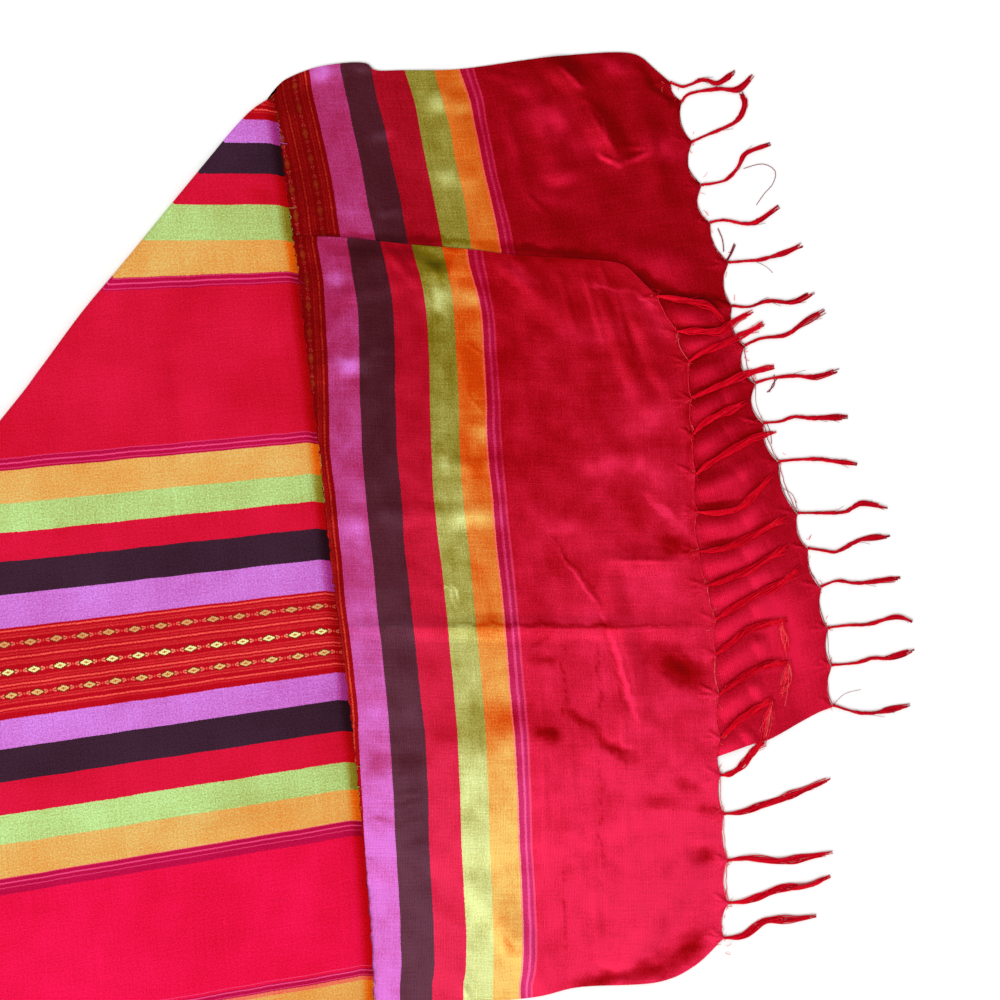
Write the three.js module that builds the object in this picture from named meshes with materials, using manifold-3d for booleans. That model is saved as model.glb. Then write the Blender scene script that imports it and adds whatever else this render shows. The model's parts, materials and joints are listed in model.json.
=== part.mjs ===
/*
 * Wrap scarf of striped shot silk, 640 mm wide and about 2.1 m long, laid out flat on a surface.
 *
 * The cloth is doubled crosswise, near its middle, and the doubled cloth is then turned under along
 * a slanting fold at the upper left, so that both knotted ends run out to the right.
 * From the surface upwards the layers are: the back end, the front end, the hidden layers
 * that both ends and the doubled cloth share, and the body stretch that lies on top of all.
 *
 * Lengths are millimetres. +X runs to the right, +Y up the sheet, +Z away from the surface,
 * and the surface is z = 0. Plan points are given from the middle of the striped part, and
 * PLAN_CENTRE moves the scarf so that the middle of its whole outline is the origin.
 */
import * as THREE from 'three';
import { mergeVertices } from 'three/addons/utils/BufferGeometryUtils.js';
import Module from 'manifold-3d';

// Driving dimensions
const CLOTH_WIDTH = 640;
const WALL = 1.2;
const SEAM_GAP = 0.3;
const PLAN_CENTRE = { x: -198.8, y: -85.9 };

// Underside of the body stretch: over its middle, and at the selvage that crosses the two ends
const BODY_LIFT = 4.6;
const SELVAGE = { overBack: 1.8, overBoth: 3.1, changesAt: 242, changesOver: 12, rise: 22 };
const ROLL = { radius: 3.6, atCorner: 1.9, growsOver: 130, loft: 1.4, loftReach: 36 };
const EDGE_TURN = THREE.MathUtils.degToRad(70);
const ROLL_STEPS = 6;
const FOLD_SAMPLES = 120;

// The front end lies on the back end, and comes down to the surface beyond the back end's lower edge
const FRONT_LIFT = WALL + SEAM_GAP;
const STEP_DOWN = { starts: 20, over: 26 };

// Knotted fringe: scalloped edge, narrow backing strip, strands of three sides
const SCALLOP_DEPTH = 5;
const SCALLOP_SHARPNESS = 10;
const STRIP = { clear: 0.35, width: 2.5, height: 1.0, lift: 0.25 };
const STRAND_STEPS = 7;
const STRAND_SIDES = 3;
const STRAND_RADII = [0.9, 0.8, 0.8, 0.9, 1.1, 1.6, 2.1, 1.3];

// Grid of an end: steps from under the body to the fringe
const END_STEPS = 16;

// Hidden layers: the shortest weft line over them, how far in from the fold or selvage they end,
// and their rounded edge, as shares of the full height at the rim and a little way in from it
const CORE = { shortest: 75, inset: 1, selvageInset: 4, rim: 0.5, shoulder: 0.85, shoulderIn: 2 };
const CORE_ROW_STEP = 0.02;

// Right selvage of the body stretch, from the slanting fold down to the crosswise fold:
// its place, and how far the weft drops towards the left, in degrees
const BODY_ROWS = [
  { x: -192, y: 338, tilt: 0.0 },
  { x: -188, y: 310, tilt: 0.0 },
  { x: -185, y: 287, tilt: 0.0 },
  { x: -181, y: 258, tilt: 0.0 },
  { x: -177, y: 226, tilt: 0.2 },
  { x: -172, y: 196, tilt: 2.2 },
  { x: -166, y: 139, tilt: 4.0 },
  { x: -156, y: 60, tilt: 5.1 },
  { x: -150, y: 0, tilt: 5.9 },
  { x: -142, y: -72, tilt: 6.7 },
  { x: -132, y: -145, tilt: 8.1 },
  { x: -124, y: -214, tilt: 8.8 },
  { x: -117, y: -285, tilt: 9.6 },
  { x: -110, y: -367, tilt: 9.8 },
  { x: -107, y: -443, tilt: 9.8 },
];
// Columns of the body's grid: distances in from the right selvage, squeezed together on a weft
// line that is too short for them, then shares of what is left of the line
const NEAR_COLUMNS = [0, 5, 12, 18, 28, 36];
const NEAR_NEEDS = 60;
const FAR_COLUMNS = [0.08, 0.17, 0.27, 0.37, 0.47, 0.57, 0.67, 0.77, 0.86, 0.93, 0.97, 1];
const CORE_COLUMN = NEAR_COLUMNS.indexOf(28);

// Outer edge of the slanting fold, from the upper corner down to the left selvage
const FOLD_EDGE = [
  { x: -195, y: 344 },
  { x: -212, y: 333 },
  { x: -230, y: 314 },
  { x: -248, y: 292 },
  { x: -284, y: 248 },
  { x: -320, y: 204 },
  { x: -356, y: 161 },
  { x: -393, y: 111 },
  { x: -427, y: 67 },
  { x: -597, y: -141 },
  { x: -760, y: -354 },
];

// Back end: its long top and bottom edges, and its left edge, which the body covers
const BACK_TOP = [
  { x: -192, y: 348 },
  { x: -185, y: 358 },
  { x: -162, y: 368 },
  { x: -135, y: 373 },
  { x: -115, y: 373 },
  { x: -106, y: 367 },
  { x: -84, y: 367 },
  { x: -35, y: 368 },
  { x: 40, y: 378 },
  { x: 108, y: 382 },
  { x: 130, y: 370 },
];
const BACK_BOTTOM = [
  { x: -141, y: -292 },
  { x: -107, y: -289 },
  { x: -26, y: -278 },
  { x: 51, y: -263 },
  { x: 128, y: -241 },
  { x: 186, y: -219 },
  { x: 214, y: -209 },
  { x: 231, y: -204 },
  { x: 256, y: -190 },
  { x: 273, y: -181 },
  { x: 284, y: -175 },
];
const BACK_LEFT = [
  { x: -192, y: 348 },
  { x: -194, y: 341 },
  { x: -205, y: 330 },
  { x: -212, y: 318 },
  { x: -209, y: 287 },
  { x: -202, y: 230 },
  { x: -190, y: 139 },
  { x: -180, y: 60 },
  { x: -174, y: 0 },
  { x: -166, y: -72 },
  { x: -156, y: -145 },
  { x: -148, y: -214 },
  { x: -141, y: -292 },
];

// Front end: the same three edges
const FRONT_TOP = [
  { x: -198, y: 226 },
  { x: -171, y: 225 },
  { x: -133, y: 224 },
  { x: -76, y: 218 },
  { x: -26, y: 214 },
  { x: 15, y: 209 },
  { x: 65, y: 206 },
  { x: 98, y: 203 },
  { x: 110, y: 198 },
];
const FRONT_BOTTOM = [
  { x: -131, y: -441 },
  { x: -107, y: -440 },
  { x: -60, y: -433 },
  { x: 26, y: -425 },
  { x: 68, y: -416 },
  { x: 133, y: -412 },
  { x: 166, y: -398 },
  { x: 191, y: -374 },
];
const FRONT_LEFT = [
  { x: -198, y: 226 },
  { x: -190, y: 139 },
  { x: -180, y: 60 },
  { x: -174, y: 0 },
  { x: -166, y: -72 },
  { x: -156, y: -145 },
  { x: -148, y: -214 },
  { x: -141, y: -285 },
  { x: -134, y: -367 },
  { x: -131, y: -441 },
];

// A fringe's strands, from the top down: root on the cloth's edge, middle and tip in plan,
// and how far root and tip are lifted off the surface by what they lie on
const BACK_STRANDS = [
  { x: 145, y: 357, midX: 173, midY: 359, tipX: 201, tipY: 366, lift: 0, tipLift: 0 },
  { x: 155, y: 340, midX: 185, midY: 346, tipX: 214, tipY: 358, lift: 0, tipLift: 0 },
  { x: 164, y: 306, midX: 201, midY: 318, tipX: 217, tipY: 347, lift: 0, tipLift: 0 },
  { x: 172, y: 269, midX: 203, midY: 281, tipX: 231, tipY: 303, lift: 0, tipLift: 0 },
  { x: 179, y: 237, midX: 209, midY: 240, tipX: 238, tipY: 251, lift: 0, tipLift: 0 },
  { x: 195, y: 203, midX: 226, midY: 208, tipX: 258, tipY: 218, lift: 0, tipLift: 0 },
  { x: 198, y: 166, midX: 231, midY: 168, tipX: 268, tipY: 177, lift: 0, tipLift: 0 },
  { x: 209, y: 132, midX: 244, midY: 139, tipX: 277, tipY: 160, lift: 0, tipLift: 0 },
  { x: 218, y: 100, midX: 252, midY: 102, tipX: 290, tipY: 106, lift: 0, tipLift: 0 },
  { x: 225, y: 66, midX: 256, midY: 70, tipX: 297, tipY: 69, lift: 0, tipLift: 0 },
  { x: 238, y: 33, midX: 269, midY: 34, tipX: 305, tipY: 32, lift: 0, tipLift: 0 },
  { x: 254, y: -11, midX: 295, midY: -10, tipX: 331, tipY: -7, lift: 0, tipLift: 0 },
  { x: 263, y: -41, midX: 292, midY: -45, tipX: 333, tipY: -32, lift: 0, tipLift: 0 },
  { x: 274, y: -74, midX: 309, midY: -70, tipX: 342, tipY: -68, lift: 0, tipLift: 0 },
  { x: 280, y: -109, midX: 315, midY: -108, tipX: 352, tipY: -104, lift: 0, tipLift: 0 },
  { x: 283, y: -141, midX: 319, midY: -138, tipX: 354, tipY: -130, lift: 0, tipLift: 0 },
  { x: 284, y: -175, midX: 318, midY: -180, tipX: 350, tipY: -175, lift: 0, tipLift: 0 },
];
const FRONT_STRANDS = [
  { x: 134, y: 174, midX: 171, midY: 169, tipX: 190, tipY: 152, lift: 1.5, tipLift: 1.5 },
  { x: 151, y: 144, midX: 186, midY: 143, tipX: 216, tipY: 158, lift: 1.5, tipLift: 1.8 },
  { x: 161, y: 118, midX: 187, midY: 130, tipX: 225, tipY: 149, lift: 1.5, tipLift: 1.8 },
  { x: 163, y: 87, midX: 197, midY: 100, tipX: 234, tipY: 113, lift: 1.5, tipLift: 1.8 },
  { x: 165, y: 56, midX: 185, midY: 71, tipX: 211, tipY: 84, lift: 1.5, tipLift: 1.5 },
  { x: 167, y: 22, midX: 200, midY: 45, tipX: 236, tipY: 58, lift: 1.5, tipLift: 1.8 },
  { x: 168, y: -10, midX: 207, midY: -5, tipX: 233, tipY: 22, lift: 1.5, tipLift: 1.5 },
  { x: 170, y: -44, midX: 207, midY: -35, tipX: 245, tipY: -15, lift: 1.5, tipLift: 1.5 },
  { x: 177, y: -73, midX: 210, midY: -61, tipX: 246, tipY: -39, lift: 1.5, tipLift: 1.5 },
  { x: 184, y: -102, midX: 218, midY: -81, tipX: 257, tipY: -58, lift: 1.5, tipLift: 1.5 },
  { x: 184, y: -132, midX: 212, midY: -111, tipX: 245, tipY: -102, lift: 1.5, tipLift: 1.5 },
  { x: 187, y: -166, midX: 220, midY: -144, tipX: 247, tipY: -138, lift: 1.5, tipLift: 1.5 },
  { x: 188, y: -203, midX: 207, midY: -186, tipX: 233, tipY: -170, lift: 1.5, tipLift: 1.5 },
  { x: 188, y: -235, midX: 212, midY: -222, tipX: 227, tipY: -190, lift: 1.5, tipLift: 1.5 },
  { x: 191, y: -268, midX: 235, midY: -257, tipX: 282, tipY: -238, lift: 0, tipLift: 0 },
  { x: 194, y: -308, midX: 243, midY: -308, tipX: 284, tipY: -301, lift: 0, tipLift: 0 },
  { x: 195, y: -344, midX: 239, midY: -332, tipX: 282, tipY: -321, lift: 0, tipLift: 0 },
  { x: 191, y: -374, midX: 226, midY: -360, tipX: 270, tipY: -355, lift: 0, tipLift: 0 },
];

// Soft ridges in the cloth: from one plan point to another, half-width and height
const BODY_FOLDS = [
  { x: -318, y: 150, toX: -300, toY: 20, width: 22, height: 1.4 },
  { x: -262, y: 170, toX: -250, toY: 40, width: 20, height: 1.2 },
  { x: -560, y: -250, toX: -300, toY: 90, width: 30, height: 1.0 },
  { x: -176, y: -268, toX: -270, toY: -290, width: 9, height: 1.0 },
  { x: -640, y: -330, toX: -420, toY: -200, width: 26, height: 1.2 },
];
const BACK_FOLDS = [
  { x: 40, y: 378, toX: 70, toY: 352, width: 10, height: 2.6 },
  { x: 74, y: 338, toX: 102, toY: 292, width: 11, height: 3.0 },
  { x: 30, y: 330, toX: 52, toY: 280, width: 12, height: 1.6 },
  { x: 122, y: 345, toX: 140, toY: 255, width: 13, height: 2.2 },
  { x: -60, y: 362, toX: -20, toY: 290, width: 14, height: 1.4 },
];
const FRONT_FOLDS = [
  { x: -120, y: -109, toX: 172, toY: -109, width: 8, height: 2.4 },
  { x: 80, y: -52, toX: 164, toY: -50, width: 10, height: 1.6 },
  { x: 94, y: -72, toX: 124, toY: -190, width: 9, height: 1.8 },
  { x: 82, y: 182, toX: 122, toY: 84, width: 9, height: 2.2 },
  { x: 106, y: 178, toX: 146, toY: 104, width: 9, height: 2.6 },
  { x: 10, y: 196, toX: 60, toY: 150, width: 13, height: 1.8 },
  { x: 118, y: -20, toX: 160, toY: 40, width: 14, height: 2.0 },
  { x: 176, y: -296, toX: 100, toY: -396, width: 15, height: 3.0 },
  { x: 80, y: -208, toX: 160, toY: -150, width: 16, height: 2.0 },
  { x: -20, y: -330, toX: 30, toY: -400, width: 14, height: 1.6 },
];

// --- small helpers -------------------------------------------------------------------------

function smooth(value) {
  const t = THREE.MathUtils.clamp(value, 0, 1);
  return t * t * (3 - 2 * t);
}

function curveThrough(rows) {
  return new THREE.CatmullRomCurve3(rows.map((row) => new THREE.Vector3(row.x, row.y, 0)));
}

// Smooth value between the rows of a table; place counts rows from the first
function columnAt(rows, place, name) {
  const last = rows.length - 1;
  const i = Math.min(Math.floor(place), last - 1);
  const pick = (k) => rows[THREE.MathUtils.clamp(k, 0, last)][name];
  const [a, b, c, d] = [pick(i - 1), pick(i), pick(i + 1), pick(i + 2)];
  const t = place - i;
  const bend = (2 * a - 5 * b + 4 * c - d) * t * t + (3 * (b - c) + d - a) * t * t * t;
  return b + 0.5 * ((c - a) * t + bend);
}

// Distance of a plan point from a ridge's line, and where along the line it is nearest
function nearRidge(ridge, x, y) {
  const dx = ridge.toX - ridge.x;
  const dy = ridge.toY - ridge.y;
  const t = ((x - ridge.x) * dx + (y - ridge.y) * dy) / (dx * dx + dy * dy);
  const held = THREE.MathUtils.clamp(t, 0, 1);
  return { away: Math.hypot(x - ridge.x - held * dx, y - ridge.y - held * dy), held };
}

function ridgeHeight(ridges, x, y) {
  let height = 0;
  for (const ridge of ridges) {
    const { away, held } = nearRidge(ridge, x, y);
    const ends = 0.35 + 0.65 * Math.sin(Math.PI * held);
    height += ridge.height * ends * (1 - smooth(away / (ridge.width * 1.6)));
  }
  return height;
}

// Closed solid between an upper and a lower grid of points with the same rows and columns
function solidBetween(upper, lower) {
  const rows = upper.length;
  const cols = upper[0].length;
  const points = [...upper.flat(), ...lower.flat()];
  const top = (r, c) => r * cols + c;
  const under = (r, c) => (rows + r) * cols + c;
  const index = [];
  const quad = (a, b, c, d) => index.push(a, b, c, a, c, d);
  for (let r = 0; r < rows - 1; r += 1) {
    for (let c = 0; c < cols - 1; c += 1) {
      quad(top(r, c), top(r + 1, c), top(r + 1, c + 1), top(r, c + 1));
      quad(under(r, c), under(r, c + 1), under(r + 1, c + 1), under(r + 1, c));
    }
    quad(top(r, 0), under(r, 0), under(r + 1, 0), top(r + 1, 0));
    quad(top(r, cols - 1), top(r + 1, cols - 1), under(r + 1, cols - 1), under(r, cols - 1));
  }
  for (let c = 0; c < cols - 1; c += 1) {
    quad(top(0, c), top(0, c + 1), under(0, c + 1), under(0, c));
    quad(top(rows - 1, c), under(rows - 1, c), under(rows - 1, c + 1), top(rows - 1, c + 1));
  }
  return facingOut(points, index);
}

function facingOut(points, index) {
  let volume = 0;
  for (let i = 0; i < index.length; i += 3) {
    const [a, b, c] = [points[index[i]], points[index[i + 1]], points[index[i + 2]]];
    volume += a.dot(b.clone().cross(c));
  }
  const faces = volume < 0 ? index.slice().reverse() : index;
  const geometry = new THREE.BufferGeometry().setFromPoints(points);
  geometry.setIndex(faces);
  return geometry;
}

// --- body stretch --------------------------------------------------------------------------

// Line on which the flat cloth starts to roll over the slanting fold, with its outward direction
function shoulderLine() {
  const edge = curveThrough(FOLD_EDGE);
  const length = edge.getLength();
  const line = [];
  for (let i = 0; i <= FOLD_SAMPLES; i += 1) {
    const t = i / FOLD_SAMPLES;
    const point = edge.getPointAt(t);
    const along = edge.getTangentAt(t);
    const grown = smooth((t * length) / ROLL.growsOver);
    const radius = THREE.MathUtils.lerp(ROLL.atCorner, ROLL.radius, grown);
    const out = new THREE.Vector2(along.y, -along.x);
    line.push({ x: point.x - out.x * radius, y: point.y - out.y * radius, out, radius });
  }
  return line;
}
const SHOULDER = shoulderLine();

// Where a weft line from the right selvage ends: at the slanting fold, or at the left selvage
function weftEnd(start, heading) {
  const side = (p) => heading.x * (p.y - start.y) - heading.y * (p.x - start.x);
  for (let i = 1; i < SHOULDER.length; i += 1) {
    const [from, to] = [SHOULDER[i - 1], SHOULDER[i]];
    if (side(from) < 0 && side(to) >= 0) {
      const share = side(from) / (side(from) - side(to));
      const x = THREE.MathUtils.lerp(from.x, to.x, share);
      const y = THREE.MathUtils.lerp(from.y, to.y, share);
      const reach = (x - start.x) * heading.x + (y - start.y) * heading.y;
      if (reach < CLOTH_WIDTH - ROLL.radius) {
        return { reach, out: from.out, radius: from.radius, turn: Math.PI };
      }
    }
  }
  return { reach: CLOTH_WIDTH - ROLL.radius, out: heading, radius: ROLL.radius, turn: EDGE_TURN };
}

function weftLine(place) {
  const start = { x: columnAt(BODY_ROWS, place, 'x'), y: columnAt(BODY_ROWS, place, 'y') };
  const angle = THREE.MathUtils.degToRad(columnAt(BODY_ROWS, place, 'tilt'));
  const heading = new THREE.Vector2(-Math.cos(angle), -Math.sin(angle));
  const end = weftEnd(start, heading);
  const at = (across) => ({ x: start.x + heading.x * across, y: start.y + heading.y * across });
  return { ...end, heading, at };
}
const BOTTOM_WEFT = weftLine(BODY_ROWS.length - 1);

// Distance of a plan point from the line on which the crosswise fold starts to roll
function aboveBottomFold(x, y) {
  const { heading } = BOTTOM_WEFT;
  const start = BOTTOM_WEFT.at(0);
  return heading.x * (start.y - y) - heading.y * (start.x - x);
}

// Height of the body's underside on a weft line, at a distance from the right selvage
function bodyUnderside(weft, across) {
  const { x, y } = weft.at(across);
  const overBoth = smooth((SELVAGE.changesAt - y) / SELVAGE.changesOver);
  const selvage = THREE.MathUtils.lerp(SELVAGE.overBack, SELVAGE.overBoth, overBoth);
  const risen = smooth(across / SELVAGE.rise);
  const middle = THREE.MathUtils.lerp(selvage, BODY_LIFT, risen) + risen * ridgeHeight(BODY_FOLDS, x, y);
  const lofted = risen * ROLL.loft * (1 - smooth(aboveBottomFold(x, y) / ROLL.loftReach));
  const flatness = smooth((weft.reach - across) / Math.min(ROLL.loftReach, weft.reach));
  return THREE.MathUtils.lerp(2 * weft.radius - WALL, middle + lofted, flatness);
}

function bodyColumns(reach) {
  const near = NEAR_COLUMNS.map((across) => across * Math.min(1, reach / NEAR_NEEDS));
  const last = near[near.length - 1];
  return [...near, ...FAR_COLUMNS.map((share) => last + share * (reach - last))];
}

// One weft line's points, out and in of the wall, carried on round the fold or edge at its end
function bodySection(place) {
  const weft = weftLine(place);
  const outer = [];
  const inner = [];
  for (const across of bodyColumns(weft.reach)) {
    const { x, y } = weft.at(across);
    const z = bodyUnderside(weft, across);
    inner.push(new THREE.Vector3(x, y, z));
    outer.push(new THREE.Vector3(x, y, z + WALL));
  }
  const { x, y } = weft.at(weft.reach);
  for (let step = 1; step <= ROLL_STEPS; step += 1) {
    const turned = (weft.turn * step) / ROLL_STEPS;
    const put = (radius) => {
      const aside = radius * Math.sin(turned);
      return new THREE.Vector3(
        x + weft.out.x * aside,
        y + weft.out.y * aside,
        weft.radius + radius * Math.cos(turned),
      );
    };
    outer.push(put(weft.radius));
    inner.push(put(weft.radius - WALL));
  }
  return { outer, inner };
}

// The crosswise fold: the last section carried down and under, about half its height
function bottomRoll(section) {
  const down = new THREE.Vector3(-BOTTOM_WEFT.heading.y, BOTTOM_WEFT.heading.x, 0);
  const rolled = [];
  for (let step = 1; step <= ROLL_STEPS; step += 1) {
    const turned = (Math.PI * step) / ROLL_STEPS;
    const swing = (point, middle) => {
      const radius = point.z - middle;
      const moved = point.clone().addScaledVector(down, radius * Math.sin(turned));
      moved.z = middle + radius * Math.cos(turned);
      return moved;
    };
    const middles = section.outer.map((point) => point.z / 2);
    rolled.push({
      outer: section.outer.map((point, i) => swing(point, middles[i])),
      inner: section.inner.map((point, i) => swing(point, middles[i])),
    });
  }
  return rolled;
}

function bodyStretch() {
  const sections = [];
  const lastPlace = BODY_ROWS.length - 1;
  for (let half = 0; half <= 2 * lastPlace; half += 1) {
    sections.push(bodySection(half / 2));
  }
  sections.push(...bottomRoll(sections[sections.length - 1]));
  return solidBetween(sections.map((s) => s.outer), sections.map((s) => s.inner));
}

// --- hidden layers -------------------------------------------------------------------------

// Top points on one weft line: rims at both ends, and the body's own columns between them
function corePoints(place, rowShare) {
  const weft = weftLine(place);
  const end = weft.reach - (weft.turn === Math.PI ? CORE.inset : CORE.selvageInset);
  const columns = bodyColumns(weft.reach);
  const start = columns[CORE_COLUMN];
  const stations = [
    { across: start, share: CORE.rim },
    { across: start + CORE.shoulderIn, share: CORE.shoulder },
    ...columns.slice(CORE_COLUMN + 1, -2).map((across) => ({ across, share: 1 })),
    { across: end - CORE.shoulderIn, share: CORE.shoulder },
    { across: end, share: CORE.rim },
  ];
  return stations.map(({ across, share }) => {
    const { x, y } = weft.at(across);
    const full = bodyUnderside(weft, across) - SEAM_GAP;
    return new THREE.Vector3(x, y, full * share * rowShare);
  });
}

// First row of the body's grid whose weft line is long enough to cover hidden layers
function coreStart() {
  let place = 0;
  while (weftLine(place).reach < CORE.shortest) {
    place += 0.5;
  }
  return place;
}

function hiddenLayers() {
  const first = coreStart();
  const last = BODY_ROWS.length - 1;
  const upper = [corePoints(first, CORE.rim), corePoints(first + CORE_ROW_STEP * 3, CORE.shoulder)];
  for (let place = first + 0.5; place < last; place += 0.5) {
    upper.push(corePoints(place, 1));
  }
  upper.push(corePoints(last - CORE_ROW_STEP * 3, CORE.shoulder));
  upper.push(corePoints(last - CORE_ROW_STEP, CORE.rim));
  const lower = upper.map((row) => row.map((p) => new THREE.Vector3(p.x, p.y, 0)));
  return solidBetween(upper, lower);
}

// --- the two ends --------------------------------------------------------------------------

// Stations down a fringed edge: the corner, then each strand's root and the valley before it
function fringeStations(cornerRow, strands) {
  const corner = new THREE.Vector2(cornerRow.x, cornerRow.y);
  const roots = strands.map((strand) => new THREE.Vector2(strand.x, strand.y));
  const stations = [{ point: corner, valley: 0 }];
  roots.forEach((root, i) => {
    if (i > 0) {
      stations.push({ point: roots[i - 1].clone().lerp(root, 0.5), valley: 1 });
    }
    stations.push({ point: root, valley: 0 });
  });
  let length = 0;
  stations.forEach((station, i) => {
    length += i > 0 ? station.point.distanceTo(stations[i - 1].point) : 0;
    station.length = length;
  });
  stations.forEach((station, i) => {
    const before = stations[Math.max(i - 1, 0)].point;
    const after = stations[Math.min(i + 1, stations.length - 1)].point;
    const along = after.clone().sub(before).normalize();
    station.share = station.length / length;
    station.out = new THREE.Vector2(-along.y, along.x);
    station.edge = station.point.clone().addScaledVector(station.out, -SCALLOP_DEPTH * station.valley);
  });
  return stations;
}

// Plan point of an end: a patch between its four edges, with the scallops dying out inwards
function endPoint(end, station, share) {
  const top = end.top.getPointAt(share);
  const bottom = end.bottom.getPointAt(share);
  const left = end.left.getPointAt(station.share);
  const down = station.share;
  const corners = ['x', 'y'].map((k) => {
    const along = (1 - down) * top[k] + down * bottom[k];
    const across = (1 - share) * left[k] + share * station.point[k];
    const topCorners = (1 - share) * end.first.top[k] + share * end.first.fringe[k];
    const bottomCorners = (1 - share) * end.last.bottom[k] + share * end.last.fringe[k];
    return along + across - (1 - down) * topCorners - down * bottomCorners;
  });
  const scallop = -SCALLOP_DEPTH * station.valley * share ** SCALLOP_SHARPNESS;
  return { x: corners[0] + station.out.x * scallop, y: corners[1] + station.out.y * scallop };
}

function endCloth(rows, strands, underside) {
  const stations = fringeStations(rows.top[rows.top.length - 1], strands);
  const end = {
    top: curveThrough(rows.top),
    bottom: curveThrough(rows.bottom),
    left: curveThrough(rows.left),
    first: { top: rows.top[0], fringe: stations[0].point },
    last: { bottom: rows.bottom[0], fringe: stations[stations.length - 1].point },
  };
  const upper = [];
  const lower = [];
  for (const station of stations) {
    const above = [];
    const below = [];
    for (let i = 0; i <= END_STEPS; i += 1) {
      const { x, y } = endPoint(end, station, i / END_STEPS);
      const z = underside(x, y);
      above.push(new THREE.Vector3(x, y, z + WALL));
      below.push(new THREE.Vector3(x, y, z));
    }
    upper.push(above);
    lower.push(below);
  }
  return solidBetween(upper, lower);
}

// Ridges fade out before the fringe, whose strip stays flat
function fringeFade(strands, x, y) {
  let nearest = Infinity;
  for (const strand of strands) {
    nearest = Math.min(nearest, Math.hypot(x - strand.x, y - strand.y));
  }
  return smooth((nearest - 8) / 30);
}

function backUnderside(x, y) {
  return ridgeHeight(BACK_FOLDS, x, y) * fringeFade(BACK_STRANDS, x, y);
}

// The front end's underside: on the back end, then stepping down beyond its lower edge
function frontUnderside(x, y) {
  const flat = frontRest(x, y);
  return flat + ridgeHeight(FRONT_FOLDS, x, y) * fringeFade(FRONT_STRANDS, x, y);
}

function frontRest(x, y) {
  const rows = BACK_BOTTOM;
  let i = 1;
  while (i < rows.length - 1 && x > rows[i].x) {
    i += 1;
  }
  const [from, to] = [rows[i - 1], rows[i]];
  const t = THREE.MathUtils.clamp((x - from.x) / (to.x - from.x), 0, 1);
  const beyond = THREE.MathUtils.lerp(from.y, to.y, t) - y;
  return FRONT_LIFT * (1 - smooth((beyond - STEP_DOWN.starts) / STEP_DOWN.over));
}

// --- fringes -------------------------------------------------------------------------------

function fringeStrip(stations, rest) {
  const upper = [];
  const lower = [];
  for (const { edge, out } of stations) {
    const above = [];
    const below = [];
    for (const aside of [STRIP.clear, STRIP.clear + STRIP.width]) {
      const x = edge.x + out.x * aside;
      const y = edge.y + out.y * aside;
      const z = rest(edge.x, edge.y) + STRIP.lift;
      above.push(new THREE.Vector3(x, y, z + STRIP.height));
      below.push(new THREE.Vector3(x, y, z));
    }
    upper.push(above);
    lower.push(below);
  }
  return solidBetween(upper, lower);
}

// A strand: a three-sided tube that starts in the strip, thin at the knot and full at the tip
function strandSolid(strand, station) {
  const rootAside = STRIP.clear + STRIP.width / 2;
  const root = station.edge.clone().addScaledVector(station.out, rootAside);
  const path = new THREE.CatmullRomCurve3([
    new THREE.Vector3(root.x, root.y, strand.lift),
    new THREE.Vector3(strand.midX, strand.midY, (strand.lift + strand.tipLift) / 2),
    new THREE.Vector3(strand.tipX, strand.tipY, strand.tipLift),
  ]);
  const points = [];
  const index = [];
  for (let step = 0; step <= STRAND_STEPS; step += 1) {
    const t = step / STRAND_STEPS;
    const centre = path.getPointAt(t);
    const along = path.getTangentAt(t).setZ(0).normalize();
    const radius = STRAND_RADII[step];
    centre.z += STRIP.lift + radius / 2;
    for (let side = 0; side < STRAND_SIDES; side += 1) {
      const angle = Math.PI / 2 + (2 * Math.PI * side) / STRAND_SIDES;
      const aside = radius * Math.cos(angle);
      points.push(new THREE.Vector3(
        centre.x - along.y * aside,
        centre.y + along.x * aside,
        centre.z + radius * Math.sin(angle),
      ));
    }
  }
  for (let step = 0; step < STRAND_STEPS; step += 1) {
    for (let side = 0; side < STRAND_SIDES; side += 1) {
      const next = (side + 1) % STRAND_SIDES;
      const [a, b] = [step * STRAND_SIDES + side, step * STRAND_SIDES + next];
      index.push(a, b, b + STRAND_SIDES, a, b + STRAND_SIDES, a + STRAND_SIDES);
    }
  }
  const last = STRAND_STEPS * STRAND_SIDES;
  index.push(2, 1, 0, last, last + 1, last + 2);
  return facingOut(points, index);
}

function fringe(wasm, cornerRow, strands, rest) {
  const stations = fringeStations(cornerRow, strands);
  const roots = stations.filter((station, i) => i > 0 && station.valley === 0);
  let solid = toManifold(wasm, fringeStrip(stations, rest));
  strands.forEach((strand, i) => {
    solid = solid.add(toManifold(wasm, strandSolid(strand, roots[i])));
  });
  return fromManifold(solid);
}

function toManifold(wasm, geometry) {
  const bare = geometry.clone();
  bare.deleteAttribute('normal');
  bare.deleteAttribute('uv');
  const merged = mergeVertices(bare, 1e-4);
  return new wasm.Manifold(new wasm.Mesh({
    numProp: 3,
    vertProperties: new Float32Array(merged.attributes.position.array),
    triVerts: new Uint32Array(merged.index.array),
  }));
}

function fromManifold(solid) {
  const mesh = solid.getMesh();
  const geometry = new THREE.BufferGeometry();
  geometry.setAttribute('position', new THREE.BufferAttribute(mesh.vertProperties, 3));
  geometry.setIndex(Array.from(mesh.triVerts));
  return geometry;
}

// --- the scarf -----------------------------------------------------------------------------

function piece(name, geometry, color, roughness) {
  const material = new THREE.MeshStandardMaterial({ color, roughness, metalness: 0 });
  geometry.computeVertexNormals();
  const mesh = new THREE.Mesh(geometry, material);
  mesh.name = name;
  return mesh;
}

const wasm = await Module();
wasm.setup();

const backRows = { top: BACK_TOP, bottom: BACK_BOTTOM, left: BACK_LEFT };
const frontRows = { top: FRONT_TOP, bottom: FRONT_BOTTOM, left: FRONT_LEFT };
const onSurface = () => 0;

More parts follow.
